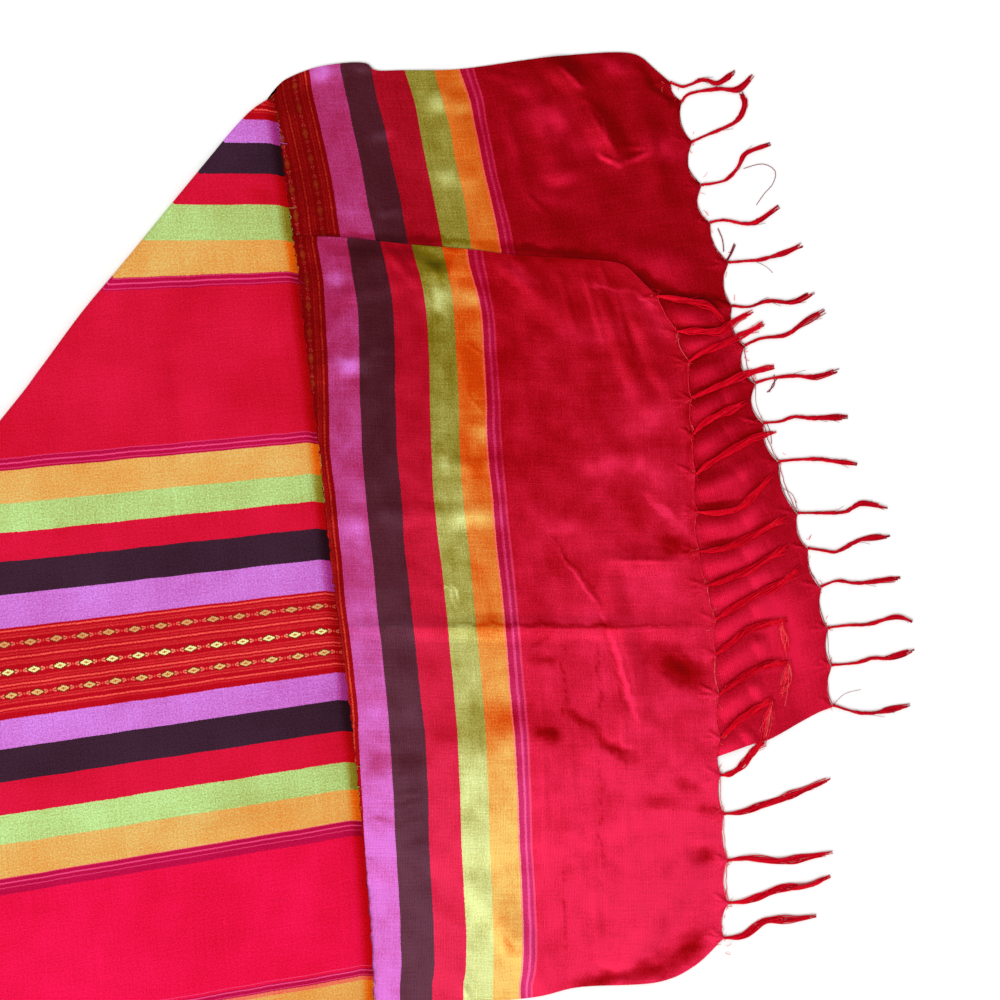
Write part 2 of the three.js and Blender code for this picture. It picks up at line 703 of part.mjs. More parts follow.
const scarf = new THREE.Group();
scarf.add(piece('body_stretch', bodyStretch(), 0xd81234, 0.45));
scarf.add(piece('hidden_layers', hiddenLayers(), 0xa01028, 0.6));
scarf.add(piece('end_back', endCloth(backRows, BACK_STRANDS, backUnderside), 0xb01028, 0.35));
scarf.add(piece('end_front', endCloth(frontRows, FRONT_STRANDS, frontUnderside), 0xcc1638, 0.35));
const backCorner = BACK_TOP[BACK_TOP.length - 1];
const frontCorner = FRONT_TOP[FRONT_TOP.length - 1];
scarf.add(piece('fringe_back', fringe(wasm, backCorner, BACK_STRANDS, onSurface), 0xc01030, 0.55));
scarf.add(piece('fringe_front', fringe(wasm, frontCorner, FRONT_STRANDS, frontRest), 0xc01030, 0.55));
scarf.position.set(-PLAN_CENTRE.x, -PLAN_CENTRE.y, 0);

export default scarf;
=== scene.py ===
"""Looks of the wrap scarf: striped shot silk, doubled, turned under on a slant and laid flat.

Plan tables are in millimetres from the middle of the striped part, as in the frame's source, and
PLAN_CENTRE takes them to the frame's origin. Blender's own objects are in metres.
"""
import json
import math

import bpy
import numpy as np
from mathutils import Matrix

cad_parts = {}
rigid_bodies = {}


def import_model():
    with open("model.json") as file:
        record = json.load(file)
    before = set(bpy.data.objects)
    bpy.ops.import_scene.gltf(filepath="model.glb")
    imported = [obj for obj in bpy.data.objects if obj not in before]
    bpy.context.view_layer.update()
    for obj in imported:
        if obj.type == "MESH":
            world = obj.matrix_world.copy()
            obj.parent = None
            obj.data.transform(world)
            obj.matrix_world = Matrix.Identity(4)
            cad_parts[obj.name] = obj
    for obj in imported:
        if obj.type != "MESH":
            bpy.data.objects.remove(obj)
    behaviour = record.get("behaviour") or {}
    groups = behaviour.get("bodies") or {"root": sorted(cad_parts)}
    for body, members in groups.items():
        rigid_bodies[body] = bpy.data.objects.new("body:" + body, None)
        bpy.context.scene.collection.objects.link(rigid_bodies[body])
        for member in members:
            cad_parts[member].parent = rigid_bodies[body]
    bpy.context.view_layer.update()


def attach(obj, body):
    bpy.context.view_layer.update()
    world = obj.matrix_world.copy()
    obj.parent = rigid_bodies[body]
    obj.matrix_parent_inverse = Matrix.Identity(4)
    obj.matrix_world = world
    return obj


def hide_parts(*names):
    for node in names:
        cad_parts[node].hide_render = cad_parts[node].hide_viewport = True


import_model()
rng = np.random.default_rng(7)

MM = 0.001
PLAN_CENTRE = np.array([-198.8, -85.9, 0.0])

# Cloth and solids that it is laid on, as in the frame
CLOTH_WIDTH = 640.0
WALL = 1.2
SHEET = 0.6
BODY_LIFT = 4.6
SELVAGE = {"over_back": 1.8, "over_both": 3.1, "changes_at": 242.0, "changes_over": 12.0, "rise": 22.0}
ROLL = {"radius": 3.6, "at_corner": 1.9, "grows_over": 130.0, "loft": 1.4, "loft_reach": 36.0}
EDGE_TURN = math.radians(70)
CURL = {"reach": 14, "drop": 0.8, "sinks": 2.0, "wave": 0.5}
HIDDEN = {"pitch": 2.2, "thick": 1.2, "base": 0.1, "insets": (6.0, 9.0), "at_fold": 1.5, "starts": 30,
          "first_row": 3.5, "last_row": 1.03, "rows": 60, "columns": 48, "turn": 0.3}
FRONT_LIFT = 1.5
STEP_DOWN = {"starts": 20.0, "over": 26.0}
# How far each end's edge falls back between two knots, from the top down
BACK_SCALLOPS = (0, 3, 5.5, 8, 7, 5, 6, 6, 7.5, 7, 5, 5, 4.5, 4.5, 4, 4, 4)
FRONT_SCALLOPS = (0, 2, 2.5, 2, 2.5, 2, 2, 3, 2.5, 2, 2, 2.5, 3, 3, 3.5, 3, 4, 4)

# Right selvage of the body stretch, from the slanting fold down: place, fall of the weft to the left
BODY_ROWS = [
    {"x": -192, "y": 341.5, "tilt": 0.0},
    {"x": -188, "y": 310, "tilt": 0.0},
    {"x": -185, "y": 287, "tilt": 0.0},
    {"x": -181, "y": 258, "tilt": 0.0},
    {"x": -177, "y": 226, "tilt": 0.2},
    {"x": -172, "y": 196, "tilt": 2.2},
    {"x": -166, "y": 139, "tilt": 4.0},
    {"x": -156, "y": 60, "tilt": 5.1},
    {"x": -150, "y": 0, "tilt": 5.9},
    {"x": -142, "y": -72, "tilt": 6.7},
    {"x": -132, "y": -145, "tilt": 8.1},
    {"x": -124, "y": -214, "tilt": 8.8},
    {"x": -117, "y": -285, "tilt": 9.6},
    {"x": -110, "y": -367, "tilt": 9.8},
    {"x": -107, "y": -443, "tilt": 9.8},
]
FOLD_EDGE = [
    (-195, 344), (-212, 333), (-230, 314), (-248, 292), (-284, 248), (-320, 204),
    (-356, 161), (-393, 111), (-427, 67), (-597, -141), (-760, -354),
]
BACK_TOP = [
    (-192, 348), (-185, 358), (-162, 368), (-135, 373), (-115, 373), (-106, 367),
    (-84, 367), (-35, 368), (40, 378), (108, 382), (130, 370),
]
BACK_BOTTOM = [
    (-141, -292), (-107, -289), (-26, -278), (51, -263), (128, -241), (186, -219),
    (214, -209), (231, -204), (256, -190), (273, -181), (284, -177),
]
BACK_LEFT = [
    (-192, 348), (-198, 342), (-206, 331), (-212, 318), (-209, 287), (-202, 230), (-190, 139),
    (-180, 60), (-174, 0), (-166, -72), (-156, -145), (-148, -214), (-141, -292),
]
FRONT_TOP = [
    (-198, 226), (-171, 225), (-133, 224), (-76, 218), (-26, 214), (15, 209), (65, 206),
    (98, 203), (110, 198),
]
FRONT_BOTTOM = [
    (-131, -441), (-107, -440), (-60, -433), (26, -425), (68, -416), (133, -412),
    (166, -398), (191, -374),
]
FRONT_LEFT = [
    (-198, 226), (-190, 139), (-180, 60), (-174, 0), (-166, -72), (-156, -145), (-148, -214),
    (-141, -285), (-134, -367), (-131, -441),
]

# Strands of the fringes, from the top down: five plan points each, from the knot to the tip
BACK_STRANDS = [
    (145, 357, 157, 353, 173, 359, 186, 356, 201, 366),
    (155, 340, 162, 347, 185, 351, 203, 351, 216, 363),
    (164, 306, 175, 311, 201, 323, 209, 338, 205, 349),
    (172, 269, 192, 273, 203, 284, 210, 296, 231, 304),
    (179, 237, 191, 239, 209, 236, 220, 238, 238, 251),
    (195, 203, 210, 204, 226, 206, 242, 211, 258, 218),
    (198, 166, 213, 165, 229, 170, 250, 169, 268, 178),
    (209, 132, 223, 138, 244, 141, 259, 151, 277, 162),
    (218, 100, 232, 104, 252, 106, 270, 105, 290, 111),
    (225, 66, 239, 67, 251, 71, 267, 70, 297, 71),
    (238, 33, 248, 34, 269, 35, 286, 33, 305, 31),
    (254, -11, 278, -11, 295, -10, 309, -3, 331, -7),
    (263, -41, 276, -43, 288, -44, 308, -34, 333, -31),
    (274, -74, 288, -69, 303, -71, 325, -69, 342, -67),
    (280, -109, 297, -107, 315, -106, 338, -100, 352, -104),
    (283, -141, 305, -139, 318, -135, 332, -135, 354, -128),
    (284, -175, 303, -181, 318, -182, 333, -179, 350, -175),
]
FRONT_STRANDS = [
    (134, 174, 148, 172, 171, 168, 182, 163, 191, 152),
    (151, 144, 171, 144, 188, 144, 203, 154, 216, 161),
    (161, 118, 173, 126, 187, 132, 205, 140, 225, 150),
    (163, 87, 179, 94, 197, 102, 215, 109, 234, 114),
    (165, 56, 173, 65, 185, 72, 197, 77, 211, 84),
    (167, 22, 182, 33, 200, 44, 218, 53, 236, 58),
    (168, -10, 186, -11, 207, -5, 221, 9, 233, 22),
    (170, -44, 188, -42, 207, -35, 226, -25, 245, -15),
    (177, -73, 193, -68, 210, -61, 229, -50, 246, -39),
    (184, -102, 200, -92, 218, -81, 238, -72, 257, -58),
    (184, -132, 198, -121, 212, -111, 227, -106, 245, -102),
    (187, -166, 203, -154, 220, -144, 233, -140, 247, -138),
    (188, -203, 197, -195, 207, -186, 220, -178, 233, -170),
    (188, -235, 198, -233, 208, -225, 214, -218, 225, -205),
    (191, -268, 208, -266, 235, -257, 256, -249, 282, -238),
    (194, -308, 212, -306, 241, -308, 261, -305, 284, -301),
    (195, -344, 212, -342, 239, -332, 263, -329, 282, -321),
    (191, -374, 208, -372, 226, -360, 252, -358, 270, -355),
]
STRAND_POINTS = 5

# Ridges and creases: from one plan point to another, half-width and height. The first rows are
# the frame's own large ones; a negative height is a trough
FOLD_COLUMNS = ("x", "y", "to_x", "to_y", "width", "height")
BODY_FOLDS = [
    (-318, 150, -300, 20, 22, 1.4),
    (-262, 170, -250, 40, 20, 1.2),
    (-560, -250, -300, 90, 30, 1.0),
    (-176, -268, -270, -290, 9, 1.0),
    (-640, -330, -420, -200, 26, 1.2),
]
BACK_FOLDS = [
    (40, 378, 70, 352, 10, 2.6),
    (74, 338, 102, 292, 11, 3.0),
    (30, 330, 52, 280, 12, 1.6),
    (122, 345, 140, 255, 13, 2.2),
    (-60, 362, -20, 290, 14, 1.4),
]
FRONT_FOLDS = [
    (-120, -109, 172, -109, 8, 2.4),
    (80, -52, 164, -50, 10, 1.6),
    (94, -72, 124, -190, 9, 1.8),
    (82, 182, 122, 84, 9, 2.2),
    (106, 178, 146, 104, 9, 2.6),
    (10, 196, 60, 150, 13, 1.8),
    (118, -20, 160, 40, 14, 2.0),
    (176, -296, 100, -396, 15, 3.0),
    (80, -208, 160, -150, 16, 2.0),
    (-20, -330, 30, -400, 14, 1.6),
]

# Finer creases of the body and the two ends, in the same columns
BODY_CREASES = [
    (-286, 137, -280, 51, 5, 0.5), (-180, -272, -153, -259, 3, 0.5), (-273, -277, -248, -280, 3, 0.4),
    (-420, 30, -260, 96, 12, 0.5), (-380, -210, -260, -160, 10, 0.4), (-330, 110, -230, 150, 7, 0.4),
    (-560, -180, -300, -120, 16, 0.5), (-200, 240, -190, 180, 7, 0.4), (-640, -420, -300, -330, 18, 0.6),
]
# Painted highlights and painted shade on the body, in the same columns: the last is how far the colour
# turns to its painted lit copy
BODY_PAINTED_LIGHT = [
    (-286, 137, -280, 51, 9, -0.12), (-420, -280, -200, -240, 30, 0.08), (-400, 60, -220, 110, 30, 0.05),
    (-215, 262, -190, 255, 7, -0.25), (-427, -210, -330, -190, 22, 0.1), (-300, -60, -180, -40, 26, -0.05),
]
BACK_CREASES = [
    (51, 371, 71, 351, 2.6, 0.8), (73, 342, 98, 297, 3, 1.0), (83, 296, 103, 286, 2.5, 0.8),
    (103, 286, 125, 296, 2.5, 0.8), (104, 302, 124, 301, 2.2, 0.5), (107, 292, 128, 297, 2.2, 0.5),
    (51, 333, 26, 308, 14, 1.0), (85, 374, 113, 364, 9, 1.0), (120, 311, 156, 299, 10, 1.2),
    (34, 277, 68, 279, 8, 0.9), (120, 207, 162, 195, 14, 1.0), (20, 265, 38, 246, 3, 0.6),
    (5, 325, 19, 282, 5, 0.7), (-64, 337, -26, 342, 7, 0.9), (-55, 275, -19, 280, 8, 0.9),
    (-109, 309, -92, 315, 6, 0.7), (-103, 244, -84, 247, 5, 0.8), (-126, 369, -104, 369, 5, 0.6),
    (-167, 361, -138, 367, 8, 0.7), (-141, 252, -120, 244, 8, 0.7), (-17, 366, 17, 359, 5, 0.6),
    (34, 231, 85, 226, 12, 0.6),
]
FRONT_CREASES = [
    (-132, -109, 175, -109, 2.6, 0.8), (96, -51, 167, -52, 2.4, 0.7), (44, -35, 85, -91, 2.4, 0.6),
    (89, -92, 118, -186, 2.2, 0.6), (71, 197, 91, 124, 3, 0.7), (96, 186, 112, 124, 3, 0.8),
    (111, 185, 124, 157, 5, 1.2), (124, 157, 143, 131, 5, 1.1), (120, 124, 156, 79, 6, 1.1),
    (51, 192, 64, 145, 3, 0.5), (85, 203, 96, 171, 2.5, 0.5), (-100, 219, -69, 182, 5, 1.0),
    (-2, 203, 26, 179, 5, 0.9), (-55, 203, -46, 188, 4, 0.7), (-26, 132, -14, 123, 2.5, 0.5),
    (-26, 88, -14, 75, 2.5, 0.5), (-145, 171, -87, 186, 8, 1.1), (-87, 186, -17, 203, 8, 1.2),
    (-144, 109, -94, 128, 8, 0.9), (-51, 27, 0, 32, 7, 0.7), (-138, -17, 0, -10, 9, 0.9),
    (130, -128, 162, -154, 8, -1.6), (85, -206, 120, -222, 5, -0.8), (126, -252, 147, -261, 5, -0.8),
    (162, -256, 186, -269, 5, -1.0), (161, -299, 186, -306, 7, -1.3), (144, -379, 185, -356, 9, -1.8),
    (64, -407, 154, -398, 6, -1.0), (-87, -252, -65, -248, 3, 0.6), (-87, -267, -65, -258, 3, -0.6),
    (-85, -299, -65, -289, 3, 0.5), (-32, -414, -26, -426, 3, 0.6), (0, -385, 17, -367, 4, 0.6),
    (132, -26, 164, -44, 8, -1.4), (-115, -227, -43, -215, 9, -0.9), (-43, -201, 26, -195, 12, -0.9),
    (51, -120, 64, -256, 3, 0.3), (103, -120, 108, -299, 3, 0.3), (77, -256, 85, -393, 3, 0.25),
    (34, -128, 41, -342, 2.5, 0.25),
]
# Painted highlights and painted shade on the satin, painted shadows beside edges among them: from one plan
# point to another, half-width, and how far the colour turns towards its painted lit copy, negative towards
# its painted shaded one
BACK_PAINTED_LIGHT = [
    (41, 321, 56, 328, 17, 0.6), (87, 374, 108, 366, 9, 0.5), (62, 379, 87, 376, 6, 0.25),
    (132, 301, 152, 299, 15, 0.55), (38, 273, 67, 277, 9, 0.35), (121, 203, 156, 195, 17, 0.35),
    (75, 342, 99, 297, 3, 0.5), (51, 371, 71, 351, 3, 0.45), (83, 296, 103, 285, 3, 0.45),
    (103, 285, 126, 297, 3, 0.45), (-162, 366, -140, 367, 10, 0.8), (-133, 250, -118, 246, 13, 0.15),
    (-128, 370, -106, 370, 5, 0.5), (-109, 308, -92, 314, 6, 0.4), (-101, 245, -84, 246, 5, 0.5),
    (-63, 338, -48, 341, 11, 0.45), (-53, 276, -38, 279, 12, 0.3), (-41, 332, -26, 335, 9, 0.35),
    (-31, 268, -17, 270, 10, 0.2), (116, 374, 159, 326, 5, -0.5), (-17, 218, 96, 207, 5, -0.6),
    (98, 203, 141, 176, 9, -0.6), (144, 176, 201, 169, 6, -0.5), (-154, 226, -17, 220, 4, -0.5),
    (-171, 299, -156, 231, 16, -0.1), (17, 345, 34, 299, 14, -0.2), (10, 372, 100, 376, 14, -0.2),
    (4, 333, 17, 256, 8, 0.15), (201, 26, 222, -51, 22, 0.25), (231, -77, 256, -154, 24, 0.45),
    (171, 128, 222, 145, 12, 0.2), (22, 338, 42, 315, 16, 0.5), (6, 350, 30, 346, 6, 0.3),
    (60, 300, 84, 306, 12, 0.25), (20, 262, 62, 250, 9, 0.2),
]
FRONT_PAINTED_LIGHT = [
    (-142, 113, -120, 116, 11, 0.75), (-113, 125, -96, 128, 6, 0.35), (-150, 187, -132, 191, 8, 0.35),
    (-60, 171, -41, 173, 13, 0.75), (-32, 173, -15, 169, 10, 0.55), (-65, 203, -46, 198, 7, -0.4),
    (-79, 142, -67, 142, 12, -0.2), (-90, 217, -64, 205, 7, -0.3), (-53, 29, -38, 29, 10, 0.35),
    (-51, -17, 0, -14, 11, 0.5), (-24, 56, -10, 55, 9, 0.35), (-26, 128, -17, 77, 13, -0.22),
    (-22, 38, -12, 0, 10, -0.15), (-135, 47, -128, 43, 14, 0.2), (-103, -15, -89, -14, 6, 0.25),
    (116, 58, 140, 75, 15, 0.5), (66, 25, 112, 33, 10, 0.4), (112, 33, 131, 27, 10, 0.4),
    (51, 128, 85, 145, 20, 0.1), (128, 19, 157, 14, 14, 0.3), (137, -31, 166, -46, 10, -0.6),
    (34, 51, 51, 0, 26, -0.12), (103, -9, 137, -17, 14, -0.2), (98, -68, 164, -85, 20, 0.3),
    (51, -77, 94, -120, 22, 0.12),
    (134, -132, 174, -157, 14, -1.0), (84, -203, 112, -220, 6, -0.8), (128, -255, 149, -261, 7, -0.35),
    (169, -261, 185, -267, 8, -0.5), (166, -302, 186, -305, 9, -0.75), (142, -398, 176, -370, 13, -0.95),
    (60, -416, 112, -405, 9, -0.8), (112, -405, 142, -398, 11, -0.85), (103, -342, 145, -316, 26, 0.12),
    (-43, -190, 26, -190, 22, -0.45), (-116, -224, -92, -226, 13, -0.55), (-60, -201, -41, -205, 12, -0.25),
    (120, 171, 144, 137, 10, 0.35), (4, 203, 26, 183, 7, 0.4), (13, 208, 85, 203, 4, -0.3),
    (162, 128, 161, -51, 5, -0.25), (-90, -94, -68, -120, 20, 0.1), (-26, -94, 9, -120, 12, -0.25),
    (17, -256, 51, -342, 30, 0.1), (34, -171, 60, -222, 20, -0.1), (-68, 219, -21, 214, 3, -0.4),
    (-150, 214, -65, 211, 8, -0.35), (-62, 205, -45, 186, 4, -0.5), (-128, -10, -112, -45, 12, 0.3),
    (-80, -12, -58, -16, 9, 0.3), (-102, -78, -82, -82, 8, 0.25), (-43, -72, -32, -86, 2, 0.5),
    (-98, -107, -78, -107, 3, 0.3), (-118, -182, -98, -183, 13, 0.3), (-90, -183, -66, -183, 12, 0.3),
    (-88, -222, -64, -224, 11, -0.5), (-88, -262, -66, -252, 3, -0.35), (-88, -278, -64, -270, 4, -0.35),
    (-86, -300, -62, -290, 4, -0.3), (-112, -272, -92, -272, 3, -0.3), (4, -372, 12, -388, 5, -0.5),
    (-45, -107, 172, -106, 2.0, -0.45), (150, -60, 170, 40, 10, 0.2), (76, -106, 100, -105, 4, -0.35),
    (-52, 2, -26, 2, 12, 0.3), (35, -20, 68, -25, 9, 0.35), (124, 5, 156, -25, 3.5, 0.45),
    (74, 184, 112, 178, 2, 0.4), (112, 178, 132, 163, 2, 0.45), (41, -31, 86, -95, 1.2, 0.5),
    (45, -31, 90, -93, 1.6, -0.3),
    (82, -90, 94, -110, 1.3, 0.45), (94, -110, 117, -188, 1.2, 0.5), (89, -112, 112, -188, 1.8, -0.3),
    (-56, -60, -34, -92, 1.3, 0.4), (56, -176, 86, -202, 5, -0.55), (30, -198, 50, -201, 7, -0.65),
    (28, -136, 50, -138, 6, -0.5), (20, -130, 46, -112, 4, -0.25), (54, -120, 55, -195, 0.9, -0.4),
    (83, -120, 84, -190, 0.9, -0.4), (54, -307, 55, -393, 0.9, -0.4), (85, -205, 86, -340, 0.9, -0.35),
    (150, -240, 172, -250, 7, -0.35),
]

# Stripes of the body, from the first whole one down its right selvage, each with its width
BODY_STRIPES_TOP = 327.3
BODY_STRIPES = [
    ("band", 40), ("orchid", 22.2), ("black", 26.1), ("red", 26.1), ("lime", 29.4), ("orange", 26.8),
    ("coral", 1.0), ("pins", 10.3), ("red", 125.6), ("pins", 9.0), ("coral", 1.0),
    ("orange", 23.7), ("lime", 25.7), ("red", 23.0),
    ("black", 26.1), ("orchid", 25.2), ("band", 69.7), ("orchid", 24.7), ("black", 25.2),
    ("red", 25.7), ("lime", 24.8), ("orange", 24.6), ("coral", 1.0), ("pins", 11.9),
    ("scarlet", 112.8), ("pins", 9.0), ("coral", 1.0), ("orange", 23.7), ("lime", 26.0), ("red", 26.0),
]
# Stripes of an end, from its fringe inwards
END_STRIPES = [
    ("red", 162), ("pins", 9.5), ("coral", 2.1), ("orange", 23.9), ("lime", 25.6), ("cream", 0.9),
    ("rose", 26), ("black", 27), ("orchid", 26), ("band", 70), ("orchid", 26),
]
# Where those stripes' edges lie on each end: cloth is the distance from the fringe, the other
# columns are x at the heights named in *_HEIGHTS
BACK_HEIGHTS = (367, 342, 316, 291, 256, 222, 145, 0, -154, -290)
BACK_WEFTS = [
    (373, -232, -228, -222, -216, -210, -205, -192, -169, -144, -123),
    (303, -162, -158, -152, -146, -140, -135, -122, -99, -74, -53),
    (277, -136, -130, -125, -119, -113, -106, -94, -71, -47, -27),
    (250, -109, -104, -97, -92, -84, -78, -66, -44, -20, 0),
    (224, -81, -73, -68, -63, -56, -49, -37, -15, 9, 28),
    (197.5, -56, -49, -42, -38, -30, -25, -12, 11, 34, 54),
    (171.5, -33, -24, -19, -14, -6, 1, 15, 37, 60, 80),
    (162, -22, -14, -10, -5, 3, 11, 24, 46, 70, 90),
    (0, 135, 154, 161, 167, 176, 185, 207, 248, 279, 300),
]
FRONT_HEIGHTS = (218, 203, 188, 171, 145, 85, 43, 0, -43, -85, -171, -214, -299, -385, -414)
FRONT_WEFTS = [
    (373, -225, -222, -220, -219, -217, -215, -214, -209, -205, -201, -191, -189, -184, -179, -177),
    (303, -155, -152, -150, -149, -147, -145, -144, -139, -135, -131, -121, -119, -114, -109, -107),
    (277, -130, -127, -125, -122, -120, -119, -117, -114, -109, -105, -96, -93, -88, -84, -85),
    (250, -101, -97, -94, -91, -89, -88, -87, -83, -80, -75, -66, -62, -59, -55, -57),
    (224, -75, -71, -67, -64, -61, -59, -58, -56, -51, -46, -38, -35, -32, -28, -31),
    (197.5, -50, -46, -43, -40, -38, -35, -34, -31, -26, -22, -14, -11, -8, -5, -6),
    (171.5, -27, -25, -21, -16, -13, -10, -9, -4, -1, 4, 11, 15, 19, 22, 19),
    (162, -16, -13, -10, -7, -4, 0, 2, 6, 10, 14, 22, 25, 28, 32, 28),
    (0, 112, 120, 126, 137, 150, 163, 167, 168, 171, 179, 187, 188, 194, 190, 171),
]


# --- curves and tables ---------------------------------------------------------------------

def smooth(value):
    t = np.clip(value, 0.0, 1.0)
    return t * t * (3 - 2 * t)


def catmull(points, places):
    """Catmull-Rom curve through points (n, k) at fractional row numbers."""
    points = np.asarray(points, float)
    last = len(points) - 1
    i = np.clip(np.floor(places).astype(int), 0, last - 1)
    t = (np.asarray(places) - i)[:, None]
    a, b, c, d = (points[np.clip(i + k, 0, last)] for k in (-1, 0, 1, 2))
    bend = (2 * a - 5 * b + 4 * c - d) * t**2 + (3 * (b - c) + d - a) * t**3
    return b + 0.5 * ((c - a) * t + bend)


def spaced(points, shares):
    """Points at shares of the length of the smooth curve through a few points."""
    fine = catmull(points, np.linspace(0, len(points) - 1, 60 * len(points)))
    length = np.r_[0, np.cumsum(np.linalg.norm(np.diff(fine, axis=0), axis=1))]
    along = np.asarray(shares) * length[-1]
    return np.stack([np.interp(along, length, fine[:, k]) for k in range(fine.shape[1])], 1)


def ridges(folds, x, y, flare=1.6):
    """Summed height of soft ridges at plan points."""
    height = np.zeros_like(x)
    for fold in folds:
        f = dict(zip(FOLD_COLUMNS, fold))
        dx, dy = f["to_x"] - f["x"], f["to_y"] - f["y"]
        t = np.clip(((x - f["x"]) * dx + (y - f["y"]) * dy) / (dx * dx + dy * dy), 0, 1)
        away = np.hypot(x - f["x"] - t * dx, y - f["y"] - t * dy)
        ends = 0.35 + 0.65 * np.sin(np.pi * t)
        height += f["height"] * ends * (1 - smooth(away / (f["width"] * flare)))
    return height


# --- meshes --------------------------------------------------------------------------------

def make_object(name, points, faces, cloth):
    """Object from plan points in millimetres, with the cloth's own coordinates and its painted sheen as an
    attribute.
    """
    mesh = bpy.data.meshes.new(name)
    mesh.from_pydata(((np.asarray(points) - PLAN_CENTRE) * MM).tolist(), [], faces)
    mesh.polygons.foreach_set("use_smooth", [True] * len(mesh.polygons))
    layer = mesh.attributes.new("cloth", "FLOAT_VECTOR", "POINT")
    layer.data.foreach_set("vector", np.asarray(cloth, np.float32).ravel())
    mesh.update()
    obj = bpy.data.objects.new(name, mesh)
    bpy.context.scene.collection.objects.link(obj)
    return obj


def quads_between(a, b, c, d):
    return np.stack([a.ravel(), b.ravel(), c.ravel(), d.ravel()], 1)


def shell(name, outer, inner, cloth):
    """Closed thin shell between two grids of points (rows, columns, 3)."""
    rows, cols = outer.shape[:2]
    top = np.arange(rows * cols).reshape(rows, cols)
    under = top + rows * cols
    parts = [
        quads_between(top[:-1, :-1], top[1:, :-1], top[1:, 1:], top[:-1, 1:]),
        quads_between(under[:-1, :-1], under[:-1, 1:], under[1:, 1:], under[1:, :-1]),
        quads_between(top[:-1, 0], under[:-1, 0], under[1:, 0], top[1:, 0]),
        quads_between(top[:-1, -1], top[1:, -1], under[1:, -1], under[:-1, -1]),
        quads_between(top[0, :-1], top[0, 1:], under[0, 1:], under[0, :-1]),
        quads_between(top[-1, :-1], under[-1, :-1], under[-1, 1:], top[-1, 1:]),
    ]
    faces = np.concatenate(parts)
    r, c = rows // 2, cols // 2
    normal = np.cross(outer[r + 1, c] - outer[r, c], outer[r, c + 1] - outer[r, c])
    if normal[2] < 0:
        faces = faces[:, ::-1]
    points = np.concatenate([outer.reshape(-1, 3), inner.reshape(-1, 3)])
    obj = make_object(name, points, faces.tolist(), np.concatenate([cloth.reshape(-1, 3)] * 2))
    obj.data.set_sharp_from_angle(angle=math.radians(60))
    return obj


def tubes(name, paths, radii, marks, sides=4):
    """One mesh of closed tubes along several paths (n, 3), each with its radii and marks."""
    points, faces, cloth = [], [], []
    first = 0
    for path, radius, mark in zip(paths, radii, marks):
        path = np.asarray(path, float)
        radius = np.broadcast_to(radius, len(path))
        along = np.gradient(path, axis=0)
        along /= np.linalg.norm(along, axis=1)[:, None] + 1e-9
        side = np.cross(along, [0, 0, 1.0])
        side /= np.linalg.norm(side, axis=1)[:, None] + 1e-9
        up = np.cross(side, along)
        angle = 2 * np.pi * np.arange(sides) / sides
        ring = np.cos(angle)[None, :, None] * side[:, None] + np.sin(angle)[None, :, None] * up[:, None]
        points.append((path[:, None] + radius[:, None, None] * ring).reshape(-1, 3))
        cloth.append(np.repeat(np.broadcast_to(mark, (len(path), 3)), sides, 0))
        for i in range(len(path) - 1):
            for s in range(sides):
                n = (s + 1) % sides
                a = first + i * sides
                faces.append((a + s, a + n, a + sides + n, a + sides + s))
        faces.append(tuple(first + s for s in reversed(range(sides))))
        last = first + (len(path) - 1) * sides
        faces.append(tuple(last + s for s in range(sides)))
        first = last + sides
    return make_object(name, np.concatenate(points), faces, np.concatenate(cloth))


class Threads:
    """Threads of one piece, each with a path, radii and marks: the cloth's own coordinates at a
    selvage, and tint and greyness in a fringe."""

    def __init__(self):
        self.paths, self.radii, self.marks = [], [], []

    def add(self, path, radius, mark):
        self.paths.append(path)
        self.radii.append(radius)
        self.marks.append(mark)

    def take(self, other):
        self.paths += other.paths
        self.radii += other.radii
        self.marks += other.marks

    def piece(self, name):
        return tubes(name, self.paths, self.radii, self.marks)


def lifted(plan, rest, above=0.0):
    """Plan points at the height that they rest at, and so much above it."""
    return np.c_[plan, rest(plan[:, 0], plan[:, 1]) + above]


# --- body stretch --------------------------------------------------------------------------

def shoulder_line():
    """Where the flat cloth starts to roll over the slanting fold: place, outward way, radius."""
    count = 400
    edge = spaced(FOLD_EDGE, np.linspace(0, 1, count))
    along = np.gradient(edge, axis=0)
    along /= np.linalg.norm(along, axis=1)[:, None]
    out = np.stack([along[:, 1], -along[:, 0]], 1)
    length = np.r_[0, np.cumsum(np.linalg.norm(np.diff(edge, axis=0), axis=1))]
    radius = ROLL["at_corner"] + (ROLL["radius"] - ROLL["at_corner"]) * smooth(length / ROLL["grows_over"])
    return edge - out * radius[:, None], out, radius


SHOULDER, SHOULDER_OUT, SHOULDER_RADIUS = shoulder_line()


class Weft:
    """A weft line of the body: from the right selvage to the slanting fold or the left selvage."""

    def __init__(self, place):
        rows = [(r["x"], r["y"], r["tilt"]) for r in BODY_ROWS]
        x, y, tilt = catmull(rows, np.array([place]))[0]
        angle = math.radians(tilt)
        self.start = np.array([x, y])
        self.heading = np.array([-math.cos(angle), -math.sin(angle)])
        self.reach = CLOTH_WIDTH - ROLL["radius"]
        self.out, self.radius, self.turn = self.heading, ROLL["radius"], EDGE_TURN
        away = SHOULDER - self.start
        side = self.heading[0] * away[:, 1] - self.heading[1] * away[:, 0]
        for i in np.nonzero((side[:-1] < 0) & (side[1:] >= 0))[0]:
            share = side[i] / (side[i] - side[i + 1])
            point = SHOULDER[i] + share * (SHOULDER[i + 1] - SHOULDER[i])
            reach = float((point - self.start) @ self.heading)
            if reach < self.reach:
                self.reach, self.turn = reach, math.pi
                self.out, self.radius = SHOULDER_OUT[i], SHOULDER_RADIUS[i]
                break

    def at(self, across):
        return self.start + np.asarray(across)[:, None] * self.heading


BOTTOM_WEFT = Weft(len(BODY_ROWS) - 1)


